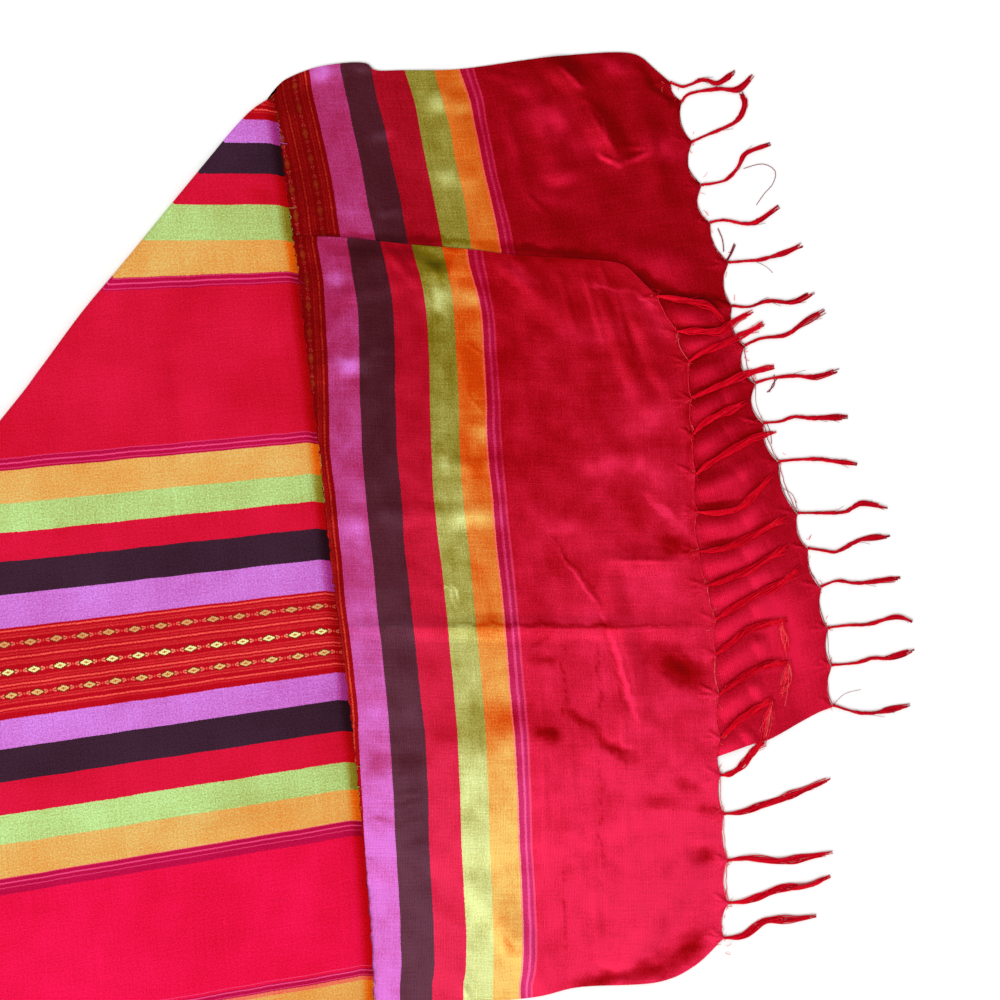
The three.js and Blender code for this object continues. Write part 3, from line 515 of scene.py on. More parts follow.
def above_bottom_fold(points):
    away = BOTTOM_WEFT.start - points
    heading = BOTTOM_WEFT.heading
    return heading[0] * away[:, 1] - heading[1] * away[:, 0]


def body_underside(weft, across):
    points = weft.at(across)
    x, y = points[:, 0], points[:, 1]
    over_both = smooth((SELVAGE["changes_at"] - y) / SELVAGE["changes_over"])
    selvage = SELVAGE["over_back"] + (SELVAGE["over_both"] - SELVAGE["over_back"]) * over_both
    risen = smooth(across / SELVAGE["rise"])
    folds = ridges(BODY_FOLDS, x, y) + ridges(BODY_CREASES, x, y)
    middle = selvage + (BODY_LIFT - selvage) * risen + risen * folds
    lofted = risen * ROLL["loft"] * (1 - smooth(above_bottom_fold(points) / ROLL["loft_reach"]))
    flatness = smooth((weft.reach - across) / min(ROLL["loft_reach"], weft.reach))
    rim = 2 * weft.radius - WALL
    return rim + (middle + lofted - rim) * flatness


def body_columns(reach):
    near = np.arange(0, 26, 2.0) * min(1, reach / 60)
    return np.r_[near, near[-1] + (reach - near[-1]) * np.linspace(0, 1, 142)[1:]]


def body_section(place, steps=8):
    weft = Weft(place)
    across = body_columns(weft.reach)
    plan = weft.at(across)
    z = body_underside(weft, across) + WALL
    edge = 1 - smooth(across / CURL["reach"])
    z = z - CURL["drop"] * edge
    plan[:, 1] -= CURL["sinks"] * edge**2
    waves = math.sin(place * 23.0) + math.sin(place * 61.0 + 1.0)
    plan[:, 0] += edge**2 * CURL["wave"] * waves
    outer = np.c_[plan, z]
    inner = np.c_[plan, z - SHEET]
    turned = weft.turn * np.arange(1, steps + 1) / steps
    end = weft.at([weft.reach])[0]

    def rolled(radius):
        flat = end + np.outer(radius * np.sin(turned), weft.out)
        return np.c_[flat, weft.radius + radius * np.cos(turned)]

    outer = np.r_[outer, rolled(weft.radius)]
    inner = np.r_[inner, rolled(weft.radius - SHEET)]
    along = BODY_STRIPES_TOP - weft.start[1]
    beyond = np.r_[across, weft.reach + weft.radius * turned]
    cloth = np.c_[beyond, np.full(len(beyond), along), body_painted_sheen(outer[:, 0], outer[:, 1], beyond)]
    return outer, inner, cloth


def body_painted_sheen(x, y, across):
    """Painted sheen of the body: painted shade along the curled right selvage, a little lighter towards the
    lower left.
    """
    value = 0.70 + ridges(BODY_PAINTED_LIGHT, x, y) + 0.10 * drift(x, y, 21, (120, 50, 24))
    value += 0.05 * smooth((-60 - y) / 300) * smooth((-200 - x) / 200)
    return value - 0.85 * (1 - smooth(across / 12)) - 0.10 * (1 - smooth(across / 50))


def body_stretch():
    sections = [body_section(place) for place in np.linspace(0, len(BODY_ROWS) - 1, 236)]
    outer, inner, cloth = sections[-1]
    down = np.array([-BOTTOM_WEFT.heading[1], BOTTOM_WEFT.heading[0]])
    middle = outer[:, 2] / 2
    steps = 8
    for step in range(1, steps + 1):
        turned = math.pi * step / steps

        def swing(points):
            radius = points[:, 2] - middle
            moved = points[:, :2] + np.outer(radius * math.sin(turned), down)
            return np.c_[moved, middle + radius * math.cos(turned)]

        rolled_cloth = cloth + np.c_[np.zeros(len(middle)), middle * turned, np.zeros(len(middle))]
        sections.append((swing(outer), swing(inner), rolled_cloth))
    grids = [np.stack([s[k] for s in sections]) for k in range(3)]
    return shell("body_cloth", *grids)


def selvage_threads(count=110):
    """Small loops where the body's weft turns back at its right selvage, with a few loose ends."""
    threads = Threads()
    steps = np.linspace(0, 1, 7)
    angle = np.linspace(-2.0, 2.0, 7)
    for place in np.sort(rng.uniform(0.6, len(BODY_ROWS) - 1.05, count)):
        weft = Weft(place)
        height = body_underside(weft, np.array([0.5]))[0] + WALL - 0.5
        along = BODY_STRIPES_TOP - weft.start[1]
        loose = rng.random() < 0.12
        wide, high = rng.uniform(0.4, 1.7), rng.uniform(0.6, 2.2)
        plan = weft.start + (0.2, -1.6) + np.c_[wide * (np.cos(angle) - 0.4), high * np.sin(angle)]
        if loose:
            bent = rng.uniform(-3, 3) * steps**2
            plan = weft.start + np.c_[rng.uniform(3, 7) * steps, rng.uniform(-4, 4) * steps + bent]
        threads.add(np.c_[plan, np.full(len(plan), height)], rng.uniform(0.1, 0.2),
                    (30.0, along + rng.uniform(-1, 1), rng.uniform(0.1, 0.75)))
    return threads.piece("selvage_threads")


# --- hidden layers -------------------------------------------------------------------------

def hidden_layers():
    """Two thin layers under the body, a little short of each other at the left selvage."""
    layers = []
    count = HIDDEN["columns"]
    places = np.linspace(HIDDEN["first_row"], len(BODY_ROWS) - HIDDEN["last_row"], HIDDEN["rows"])
    for level, inset in enumerate(HIDDEN["insets"]):
        base = HIDDEN["base"] + level * HIDDEN["pitch"]
        outer, inner, cloth = [], [], []
        for weft in map(Weft, places):
            short = HIDDEN["at_fold"] if weft.turn == math.pi else inset
            across = np.linspace(HIDDEN["starts"], weft.reach - short, count)
            plan = weft.at(across)
            outer.append(np.c_[plan, np.full(count, base + HIDDEN["thick"])])
            inner.append(np.c_[plan, np.full(count, base)])
            along = BODY_STRIPES_TOP - weft.start[1]
            cloth.append(np.c_[across, np.full(count, along), np.full(count, HIDDEN["turn"])])
        layers.append(shell(f"layer_{level}", np.stack(outer), np.stack(inner), np.stack(cloth)))
    return joined("under_layers", layers)


def joined(name, objects):
    for obj in bpy.context.view_layer.objects:
        obj.select_set(obj in objects)
    bpy.context.view_layer.objects.active = objects[0]
    bpy.ops.object.join()
    objects[0].name = name
    return objects[0]


# --- the two ends --------------------------------------------------------------------------

class Fringed:
    """The fringed edge of an end: corner, then roots, with scallops between them."""

    def __init__(self, corner, strands, scallops):
        self.roots = np.array([s[:2] for s in strands], float)
        self.scallops = np.array(scallops, float)
        knots = np.vstack([[corner], self.roots])
        length = np.r_[0, np.cumsum(np.linalg.norm(np.diff(knots, axis=0), axis=1))]
        self.shares = length / length[-1]
        self.knots = knots

    def at(self, shares):
        """Edge points before scallops, outward ways, and how far the scallops fall back."""
        points = np.stack([np.interp(shares, self.shares, self.knots[:, k]) for k in (0, 1)], 1)
        blurred = np.stack([
            np.interp(np.clip(shares + d, 0, 1), self.shares, self.knots[:, k])
            for d in (-0.03, 0.03) for k in (0, 1)
        ], 1)
        along = blurred[:, 2:] - blurred[:, :2]
        along /= np.linalg.norm(along, axis=1)[:, None]
        out = np.stack([-along[:, 1], along[:, 0]], 1)
        i = np.clip(np.searchsorted(self.shares, shares, side="right") - 1, 0, len(self.shares) - 2)
        part = (shares - self.shares[i]) / (self.shares[i + 1] - self.shares[i])
        fall = self.scallops[i] * np.sin(np.pi * np.clip(part, 0, 1)) ** 0.85
        return points, out, fall


def weft_marks(heights, wefts, x, y):
    """Distance along the cloth from the fringe at plan points, from the stripes' edges."""
    table = np.array(wefts, float)
    rows = np.c_[np.array(heights, float), table[:, 1:].T]
    fine = catmull(rows, np.linspace(0, len(rows) - 1, 400))[::-1]
    lines = np.stack([np.interp(y, fine[:, 0], fine[:, k + 1]) for k in range(len(table))])
    result = np.empty_like(x)
    marks = table[:, 0]
    for k in range(len(marks) - 1):
        share = (x - lines[k]) / (lines[k + 1] - lines[k])
        value = marks[k] + share * (marks[k + 1] - marks[k])
        use = (x >= lines[k]) | (k == 0)
        result = np.where(use, value, result)
    return result


def end_cloth(name, top, bottom, left, fringe, height, turn, heights, wefts, size=(150, 300)):
    cols, rows = size
    down = np.linspace(0, 1, rows)
    across = np.linspace(0, 1, cols)
    t, b = spaced(top, across), spaced(bottom, across)
    lf = spaced(left, down)
    fr, out, fall = fringe.at(down)
    d, s = down[:, None, None], across[None, :, None]
    plan = (1 - d) * t[None] + d * b[None] + (1 - s) * lf[:, None] + s * fr[:, None]
    plan -= (1 - d) * ((1 - s) * np.array(top[0]) + s * fr[0])
    plan -= d * ((1 - s) * np.array(bottom[0]) + s * fr[-1])
    scallop = -fall[:, None] * across[None, :] ** 14
    plan = plan + out[:, None] * scallop[..., None]
    x, y = plan[..., 0], plan[..., 1]
    z = height(x, y)
    outer = np.dstack([x, y, z + WALL])
    inner = np.dstack([x, y, z + WALL - SHEET])
    along = weft_marks(heights, wefts, x, y)
    steps = np.diff(plan, axis=0, prepend=plan[:1])
    measured = np.cumsum(np.hypot(steps[..., 0], steps[..., 1]), axis=0)
    # the third part is the end's painted sheen
    cloth = np.dstack([measured, along, turn(x, y)])
    return shell(name, outer, inner, cloth)


def near_edge(points_x, points_y, strands):
    near = np.full(points_x.shape, 1e9)
    for s in strands:
        near = np.minimum(near, np.hypot(points_x - s[0], points_y - s[1]))
    return smooth((near - 8) / 30)


def strand_points(strand):
    return np.array(strand, float).reshape(STRAND_POINTS, 2)


def comb_folds():
    """Puffs of the back end between the front strands that lie on it, and the grooves under them."""
    puffs, grooves = [], []
    paths = [strand_points(strand) for strand in FRONT_STRANDS[:14]]
    for k, path in enumerate(paths):
        end = path[3] + (path[3] - path[2]) * 0.4
        grooves.append((*(path[0] + (2, 3)), *(path[2] + (0, 3)), GROOVE["width"], GROOVE["height"]))
        grooves.append((*(path[2] + (0, 3)), *(end + (0, 3)), GROOVE["width"], GROOVE["height"]))
        if k + 1 < len(paths):
            start = (path[0] + paths[k + 1][0]) / 2
            middle = (path[2] + paths[k + 1][2]) / 2
            stop = (path[3] + paths[k + 1][3]) / 2
            tall = PUFF["height"] * (0.8 + 0.4 * rng.random())
            puffs.append((*start, *middle, PUFF["width"], tall))
            puffs.append((*middle, *stop, PUFF["width"], tall * 0.8))
    return puffs, grooves


def gathers(strands, fringe, reach, height):
    """Short ridges that run back into the cloth from each knot."""
    rows = []
    for k, strand in enumerate(strands):
        root = np.array(strand[:2], float)
        share = fringe.shares[min(k + 1, len(fringe.shares) - 1)]
        out = fringe.at(np.array([share]))[1][0]
        aside = np.array([-out[1], out[0]])
        for turned in (-0.55, 0.0, 0.5):
            back = root - (out + turned * aside) * reach * rng.uniform(0.6, 1.2)
            rows.append((*root, *back, 1.9, height * rng.uniform(0.6, 1.2)))
    return rows


def drift(x, y, seed, sizes=(90, 45, 22)):
    """Soft uneven field of about -1 to 1, from a few crossed waves."""
    source = np.random.default_rng(seed)
    total = np.zeros_like(x)
    for size in sizes:
        for _ in range(4):
            angle, phase = source.uniform(0, 2 * np.pi, 2)
            wave = (x * np.cos(angle) + y * np.sin(angle)) * 2 * np.pi / size
            total += np.sin(wave + phase + 1.5 * np.sin(wave * 0.37 + phase)) * size
    return total / (2.0 * sum(sizes))


def painted_light_patches(patches, x, y, seed):
    """Summed painted highlight and painted shade at plan points, with uneven rims to the patches."""
    aside = 3.0 * drift(x, y, seed, (26, 11, 5))
    up = 2.2 * drift(x, y, seed + 1, (20, 9, 5))
    return ridges(patches, x + aside, y + up, 1.3)


def lean(height, x, y, step=1.0):
    """How far a surface leans towards the lower left, from its height at plan points."""
    slope_x = (height(x + step, y) - height(x - step, y)) / (2 * step)
    slope_y = (height(x, y + step) - height(x, y - step)) / (2 * step)
    return LIGHT_SIDE[0] * slope_x + LIGHT_SIDE[1] * slope_y


# Puffs and grooves: half-width and height, and over what half-width the puffs get a painted highlight and
# the grooves a painted shade, and how much
PUFF = {"width": 10.0, "height": 2.4, "painted_light_width": 6.5, "painted_light": 0.39}
GROOVE = {"width": 4.0, "height": -1.3, "painted_light_width": 4.0, "painted_light": -0.46}
LIGHT_SIDE = (0.5, 0.86)
FINE_DRIFT = {"amount": 0.07, "sizes": (60, 24, 12)}
PUFFS, GROOVES = comb_folds()


def back_height(x, y):
    shape = ridges(BACK_FOLDS, x, y) + ridges(BACK_CREASES, x, y)
    combed = np.maximum(ridges(PUFFS, x, y) + ridges(GROOVES, x, y), -0.3)
    fine = 0.35 * drift(x, y, 3)
    return np.maximum((shape + combed + fine) * near_edge(x, y, BACK_STRANDS), 0) + back_gathered(x, y)


def back_gathered(x, y):
    return ridges(BACK_GATHERS, x, y, 1.3)


def front_rest(x, y):
    edge = np.array(BACK_BOTTOM, float)
    beyond = np.interp(x, edge[:, 0], edge[:, 1]) - y
    return FRONT_LIFT * (1 - smooth((beyond - STEP_DOWN["starts"]) / STEP_DOWN["over"]))


def front_height(x, y):
    shape = ridges(FRONT_FOLDS, x, y) + ridges(FRONT_CREASES, x, y) + 0.4 * drift(x, y, 5)
    shape = np.maximum(shape * near_edge(x, y, FRONT_STRANDS), 0)
    return front_rest(x, y) + shape + ridges(FRONT_GATHERS, x, y, 1.3)


def back_painted_sheen(x, y):
    """Painted sheen of the back end: lighter lower down, painted highlight on slopes that face the light,
    painted shade on those that face away.
    """
    low = smooth((110 - y) / 260)
    value = 0.2 + 0.45 * low + painted_light_patches(BACK_PAINTED_LIGHT, x, y, 31) + lean(back_height, x, y)
    # painted highlight along the puffs, painted shade along the grooves
    for rows, form in ((PUFFS, PUFF), (GROOVES, GROOVE)):
        value += ridges([(*row[:4], form["painted_light_width"], form["painted_light"]) for row in rows], x, y)
    return value + FINE_DRIFT["amount"] * drift(x, y, 11, FINE_DRIFT["sizes"])


# Painted sheen of the front end at each y, lighter lower down
FRONT_PAINTED_SHEEN_LEVELS = (
    (-430, 0.93), (-240, 0.86), (-205, 0.68), (-115, 0.64), (-105, 0.54), (-40, 0.48), (43, 0.34),
    (120, 0.25), (226, 0.20),
)


def front_painted_sheen(x, y):
    """Painted sheen of the front end: lighter lower down and to the right, painted highlight and shade on
    slopes, but for the lean of its crosswise crease.
    """
    places, levels = zip(*FRONT_PAINTED_SHEEN_LEVELS)
    value = np.interp(y, places, levels) + painted_light_patches(FRONT_PAINTED_LIGHT, x, y, 41)
    value += 0.06 * smooth((x - 20) / 120) - 0.08 * smooth((20 - x) / 20) * smooth((y + 250) / 200)
    value += lean(front_height, x, y) * (1 - np.exp(-((y + 109) / 16) ** 2))
    return value + FINE_DRIFT["amount"] * drift(x, y, 12, FINE_DRIFT["sizes"])


# --- fringes -------------------------------------------------------------------------------

def strand_path(strand, rest, count=30):
    return lifted(spaced(strand_points(strand), np.linspace(0, 1, count)), rest)


def back_strand_rest(x, y):
    return np.full_like(x, 1.0)


def front_strand_rest(x, y):
    """Height of a front strand's middle: on the back end, or on the surface beyond it."""
    roots = np.array([strand[:2] for strand in BACK_STRANDS], float)[::-1]
    edge_x = np.interp(y, roots[:, 1], roots[:, 0])
    bottom = np.array(BACK_BOTTOM, float)
    edge_y = np.interp(x, bottom[:, 0], bottom[:, 1])
    on_back = smooth((edge_x - x + 3) / 8) * smooth((y - edge_y + 3) / 8)
    return 1.0 + on_back * (back_height(x, y) + WALL + 0.3)


def strand_threads(path, frayed, flat, count=16):
    """Threads of one strand: twisted at the knot, a loose roll further on, its tip drawn together."""
    n = len(path)
    t = np.linspace(0, 1, n)
    along = np.gradient(path, axis=0)
    along /= np.linalg.norm(along, axis=1)[:, None]
    side = np.cross(along, [0, 0, 1.0])
    full = rng.uniform(0.6, 1.2)
    spread = 0.75 + 0.6 * smooth((t - 0.15) / 0.3) + full * smooth((t - 0.5) / 0.3)
    spread += flat * smooth((t - 0.03) / 0.12) * (1 - smooth((t - 0.6) / 0.25))
    spread *= 1 - 0.45 * smooth((t - 0.86) / 0.14) * (not frayed)
    spread = spread * (1 + 0.15 * np.sin(t * rng.uniform(14, 22) + rng.uniform(0, 6)))
    turns = rng.uniform(2.0, 3.5) / (1 + 1.5 * flat)
    worn = 0.45 * smooth((t - 0.93) / 0.07) * (flat == 0)
    threads = Threads()
    for k in range(count):
        angle = 2 * np.pi * (k / count + turns * np.minimum(t, 0.7))
        wide = spread * rng.uniform(0.5, 1.1)
        fray = rng.normal(0, 0.5) * smooth((t - 0.85) / 0.15)
        point = path + side * (wide * np.cos(angle) + fray)[:, None]
        point[:, 2] += np.minimum(wide, 1.0) * np.sin(angle)
        point[:, 2] = np.maximum(point[:, 2], 0.5)
        stop = n - rng.integers(0, 4)
        # front strands, which lie on the back end, get a lighter tint as painted highlight
        tint = np.full(n, rng.uniform(0.25, 0.75) + 0.22 * (flat > 0))
        threads.add(point[:stop], np.linspace(0.48, 0.34, n)[:stop], np.c_[tint, worn, 0 * t][:stop])
    hair = 8
    steps = np.linspace(0, 1, hair)
    for _ in range(34 if frayed else 6):
        first = rng.integers(n - 12 if frayed else 6, n - hair)
        away = rng.uniform(-1, 1) * steps ** 1.5 * rng.uniform(2, 6)
        reach = steps[:, None] * along[-1] * rng.uniform(0, 4) * frayed
        point = path[first:first + hair] + side[first:first + hair] * away[:, None] + reach
        point[:, 2] += 0.8
        greyness = np.linspace(0.1, 0.8, hair) * (flat == 0)
        tint = np.full(hair, rng.uniform(0.6, 1.2))
        threads.add(point, 0.16, np.c_[tint, greyness, np.zeros(hair)])
    return threads


def knot_loop(path):
    """A turn of yarn round the root."""
    angle = np.linspace(0, 2.3 * np.pi, 14)
    ahead = path[1, :2] - path[0, :2]
    heading = math.atan2(ahead[1], ahead[0])
    ring = np.c_[0.35 * np.cos(angle) + 0.12 * angle, 1.1 * np.sin(angle)]
    turn = np.array([[math.cos(heading), -math.sin(heading)], [math.sin(heading), math.cos(heading)]])
    plan = ring @ turn.T + path[0, :2] + 0.8 * np.array([math.cos(heading), math.sin(heading)])
    return np.c_[plan, path[0, 2] + 0.6 * np.cos(angle)]


def edge_threads(fringe, rest, slack, tints):
    """Threads from knot to knot: one or two along the cloth's edge, a loose one in some gaps."""
    threads = Threads()
    for k in range(1, len(fringe.knots) - 1):
        for taken in ((1.0, 0.4) if k in slack else (1.0, 0.97)[:1 + k % 2]):
            shares = np.linspace(fringe.shares[k], fringe.shares[k + 1], 14)
            points, out, fall = fringe.at(shares)
            away = 0.25 - fall * taken + 0.3 * np.sin(rng.uniform(3, 9) * shares * 40)
            path = lifted(points + out * away[:, None], rest, rng.uniform(-0.2, 0.3))
            threads.add(path, rng.uniform(0.2, 0.32), (rng.choice(tints), 0.0, 0.0))
    return threads


# Loose threads beyond the fringe: radius, then plan points
LOOSE_THREADS = [
    (0.3, (208, 283), (224, 287), (235, 281), (233, 270), (226, 262), (219, 252)),
    (0.55, (192, 203), (196, 209), (200, 219)), (0.5, (194, 204), (198, 211), (201, 218)),
    (0.45, (186, 232), (190, 222), (191, 212)), (0.2, (215, 205), (226, 200), (233, 194)),
    (0.45, (228, 92), (234, 98), (234, 107)), (0.4, (230, 92), (233, 99), (238, 105)),
    (0.18, (283, -177), (294, -166), (308, -162)), (0.18, (231, -204), (222, -207), (216, -212)),
    (0.25, (242, 10), (250, 4), (254, -8)), (0.28, (228, 65), (231, 57), (232, 48)),
]


def loose_threads(rest):
    threads = Threads()
    for radius, *points in LOOSE_THREADS:
        plan = spaced(np.array(points, float), np.linspace(0, 1, 16))
        threads.add(lifted(plan, rest, -0.2), radius, (rng.uniform(0.3, 0.6), 0.6, 0.0))
    return threads


# Open tufts that fall back from the tips of some front strands: from, to, spread
TUFTS = [
    (239, -99, 243, -130, 6), (247, -136, 238, -164, 8), (232, -169, 226, -202, 6),
]


def tufts(rest, count=26):
    threads = Threads()
    for x, y, to_x, to_y, spread in TUFTS:
        start, end = np.array([x, y]), np.array([to_x, to_y])
        for _ in range(count):
            aside = rng.normal(0, 0.45 * spread, 2)
            first = start + rng.normal(0, 0.8, 2) + (end - start) * rng.uniform(0, 0.35)
            middle = (first + end) / 2 + aside + rng.normal(0, 0.8, 2)
            last = first + (end - first) * rng.uniform(0.6, 1.15) + aside * rng.uniform(0.2, 1.3)
            plan = spaced(np.array([first, middle, last]), np.linspace(0, 1, 9))
            threads.add(lifted(plan, rest, 0.6), rng.uniform(0.16, 0.27), (rng.uniform(0.9, 1.5), 0.0, 0.0))
    return threads


def root_fuzz(strands, rest, count):
    """Short curled threads on the cloth round each knot."""
    threads = Threads()
    steps = np.linspace(0, 1, 7)
    for strand in strands:
        root = np.array(strand[:2], float)
        for _ in range(count):
            start = root + rng.normal(0, 1.0, 2) * (1.6, 5.0) - np.array([1.6, 0])
            heading, bend = rng.uniform(0, 2 * np.pi), rng.uniform(-1.6, 1.6)
            way = heading + bend * steps
            plan = start + np.cumsum(np.c_[np.cos(way), np.sin(way)], axis=0) * rng.uniform(0.35, 1.0)
            threads.add(lifted(plan, rest, 0.5), rng.uniform(0.15, 0.26), (rng.uniform(0.7, 1.5), 0.0, 0.0))
    return threads


def fringe_piece(name, strands, rest, frayed, flat, *extras):
    threads = Threads()
    for k, strand in enumerate(strands):
        path = strand_path(strand, rest)
        threads.take(strand_threads(path, k in frayed, flat))
        threads.add(knot_loop(path), 0.5, (0.6, 0.0, 0.0))
    for extra in extras:
        threads.take(extra)
    return threads.piece(name)


# --- materials -----------------------------------------------------------------------------

def seen(red, green, blue):
    """A colour as it looks, to be mixed with others as it looks."""
    return (red / 255, green / 255, blue / 255, 1.0)


def under_light(tree, colour):
    """The material's own colour, from how it looks under the studio light."""
    curve = tree.add("ShaderNodeGamma")
    curve.inputs["Gamma"].default_value = 2.2
    tree.link(colour, curve.inputs["Color"])
    return tree.mix(1.0, curve.outputs[0], (1 / LIGHTING, 1 / LIGHTING, 1 / LIGHTING, 1.0), "MULTIPLY")


# Thread colours as they look under the studio light, as painted shaded and painted lit copies: turned away
# from it, and turned to it
LIGHTING = 1.2
BODY_PAINTED_SHADED = {
    "red": (176, 8, 16), "scarlet": (190, 6, 20), "orchid": (166, 50, 128), "black": (42, 20, 28),
    "lime": (136, 118, 32), "orange": (226, 92, 12), "pins": (150, 4, 36), "band": (150, 2, 10),
    "coral": (216, 60, 40),
}
BODY_PAINTED_LIT = {
    "red": (230, 30, 72), "scarlet": (254, 28, 90), "orchid": (224, 144, 247), "black": (70, 44, 62),
    "lime": (199, 244, 161), "orange": (232, 202, 121), "pins": (204, 24, 84), "band": (200, 20, 40),
    "coral": (246, 140, 110),
}
END_PAINTED_SHADED = {
    "red": (150, 4, 14), "rose": (166, 14, 32), "orchid": (164, 36, 78), "black": (72, 26, 34),
    "lime": (118, 100, 20), "orange": (208, 64, 8), "pins": (156, 6, 30), "band": (114, 5, 8),
    "coral": (236, 76, 60), "cream": (150, 96, 50),
}
END_PAINTED_LIT = {
    "red": (240, 44, 84), "rose": (232, 48, 84), "orchid": (222, 118, 214), "black": (100, 58, 73),
    "lime": (226, 234, 156), "orange": (246, 200, 108), "pins": (212, 54, 112), "band": (178, 20, 30),
    "coral": (255, 160, 140), "cream": (238, 214, 150),
}
BACK_PAINTED_SHADED = dict(END_PAINTED_SHADED, red=(134, 3, 12), rose=(146, 10, 22), orange=(208, 80, 16))
BACK_PAINTED_LIT = dict(END_PAINTED_LIT, red=(230, 32, 68))


class Tree:
    """Short names for building a material's nodes."""

    def __init__(self, name):
        self.material = bpy.data.materials.new(name)
        self.material.use_nodes = True
        self.nodes = self.material.node_tree.nodes
        self.links = self.material.node_tree.links
        self.shader = self.nodes["Principled BSDF"]

    def link(self, value, socket):
        if hasattr(value, "node"):
            self.links.new(value, socket)
        else:
            socket.default_value = value

    def add(self, kind, **settings):
        node = self.nodes.new(kind)
        for key, value in settings.items():
            setattr(node, key, value)
        return node

    def math(self, operation, a, b=0.0, c=0.0):
        node = self.add("ShaderNodeMath", operation=operation)
        for socket, value in zip(node.inputs, (a, b, c)):
            self.link(value, socket)
        return node.outputs[0]

    def mix(self, share, a, b, blend="MIX"):
        node = self.add("ShaderNodeMix", data_type="RGBA", blend_type=blend)
        self.link(share, node.inputs["Factor"])
        self.link(a, node.inputs["A"])
        self.link(b, node.inputs["B"])
        return node.outputs["Result"]

    def noise(self, vector, scale, detail=2.0, stretch=(1, 1, 1)):
        spread = self.add("ShaderNodeMapping")
        self.link(vector, spread.inputs["Vector"])
        spread.inputs["Scale"].default_value = stretch
        node = self.add("ShaderNodeTexNoise")
        self.link(spread.outputs[0], node.inputs["Vector"])
        node.inputs["Scale"].default_value = scale
        node.inputs["Detail"].default_value = detail
        return node.outputs["Fac"]

    def ramp(self, value, stops, interpolation="CONSTANT"):
        node = self.add("ShaderNodeValToRGB")
        node.color_ramp.interpolation = interpolation
        elements = node.color_ramp.elements
        elements.remove(elements[1])
        elements[0].position, elements[0].color = stops[0]
        for place, colour in stops[1:]:
            elements.new(place).color = colour
        self.link(value, node.inputs["Fac"])
        return node.outputs["Color"]

    def line(self, value, centre, half):
        """1 within half of centre, with soft sides."""
        away = self.math("ABSOLUTE", self.math("SUBTRACT", value, centre))
        height = self.math("MAXIMUM", self.math("MULTIPLY_ADD", away, -1.0 / half, 1.6), 0.0)
        return self.math("SMOOTH_MIN", height, 1.0, 0.1)

    def clamp(self, value, low, high):
        return self.math("MINIMUM", self.math("MAXIMUM", value, low), high)

    def unsettle(self, value, field, amount):
        """A value moved up and down by a field of 0 to 1."""
        return self.math("ADD", value, self.math("MULTIPLY_ADD", field, amount, -amount / 2))

    def finish(self, colour, relief, bump, metallic, roughness, specular):
        """The shader's colour, its bump as a strength and a distance in metres, and its gloss."""
        self.link(under_light(self, colour), self.shader.inputs["Base Color"])
        node = self.add("ShaderNodeBump")
        node.inputs["Strength"].default_value, node.inputs["Distance"].default_value = bump
        self.link(relief, node.inputs["Height"])
        self.link(node.outputs[0], self.shader.inputs["Normal"])
        self.shader.inputs["Metallic"].default_value = metallic
        self.shader.inputs["Roughness"].default_value = roughness
        self.shader.inputs["Specular IOR Level"].default_value = specular
        return self.material


def stripe_edges(stripes, start):
    """Places of stripes' starts, and centres of the bands and pins among them."""
    place, starts, centres = start, [], {"band": [], "pins": []}
    for kind, width in stripes:
        starts.append((place, kind))
        if kind in centres:
            centres[kind].append(place + width - BAND_HALF if kind == "band" else place + width / 2)
        place += width
    return starts, centres, place


def nearest_offset(tree, value, centres):
    """Signed distance from the nearest of some centres."""
    offset = tree.math("SUBTRACT", value, centres[0])
    for before, after in zip(centres, centres[1:]):
        past = tree.math("GREATER_THAN", value, (before + after) / 2)
        offset = tree.math("SUBTRACT", offset, tree.math("MULTIPLY", past, after - before))
    return offset


def grey(tree, value):
    node = tree.add("ShaderNodeCombineXYZ")
    for socket in node.inputs:
        tree.link(value, socket)
    return node.outputs[0]


# The two silks: plain on the body, satin on the ends, and how much the painted sheen brightens their
# pattern threads
SILKS = {
    "body": {
        "speckle": 1.2, "painted_light": (0.4, 0.6), "metallic": 0.12, "roughness": 0.5,
        "band_line": (255, 100, 84), "lozenge": None,
        "pins": ((0.0, 0.5, (250, 84, 140)), (-3.8, 0.3, (236, 70, 120)), (3.8, 0.3, (236, 70, 120))),
    },
    "end": {
        "speckle": 0.8, "painted_light": (0.75, 0.15), "metallic": 0.25, "roughness": 0.34,
        "band_line": (244, 104, 60), "lozenge": (196, 96, 44),
        "pins": ((0.75, 0.9, (252, 96, 156)), (-4.0, 0.8, (252, 80, 118))),
    },
}


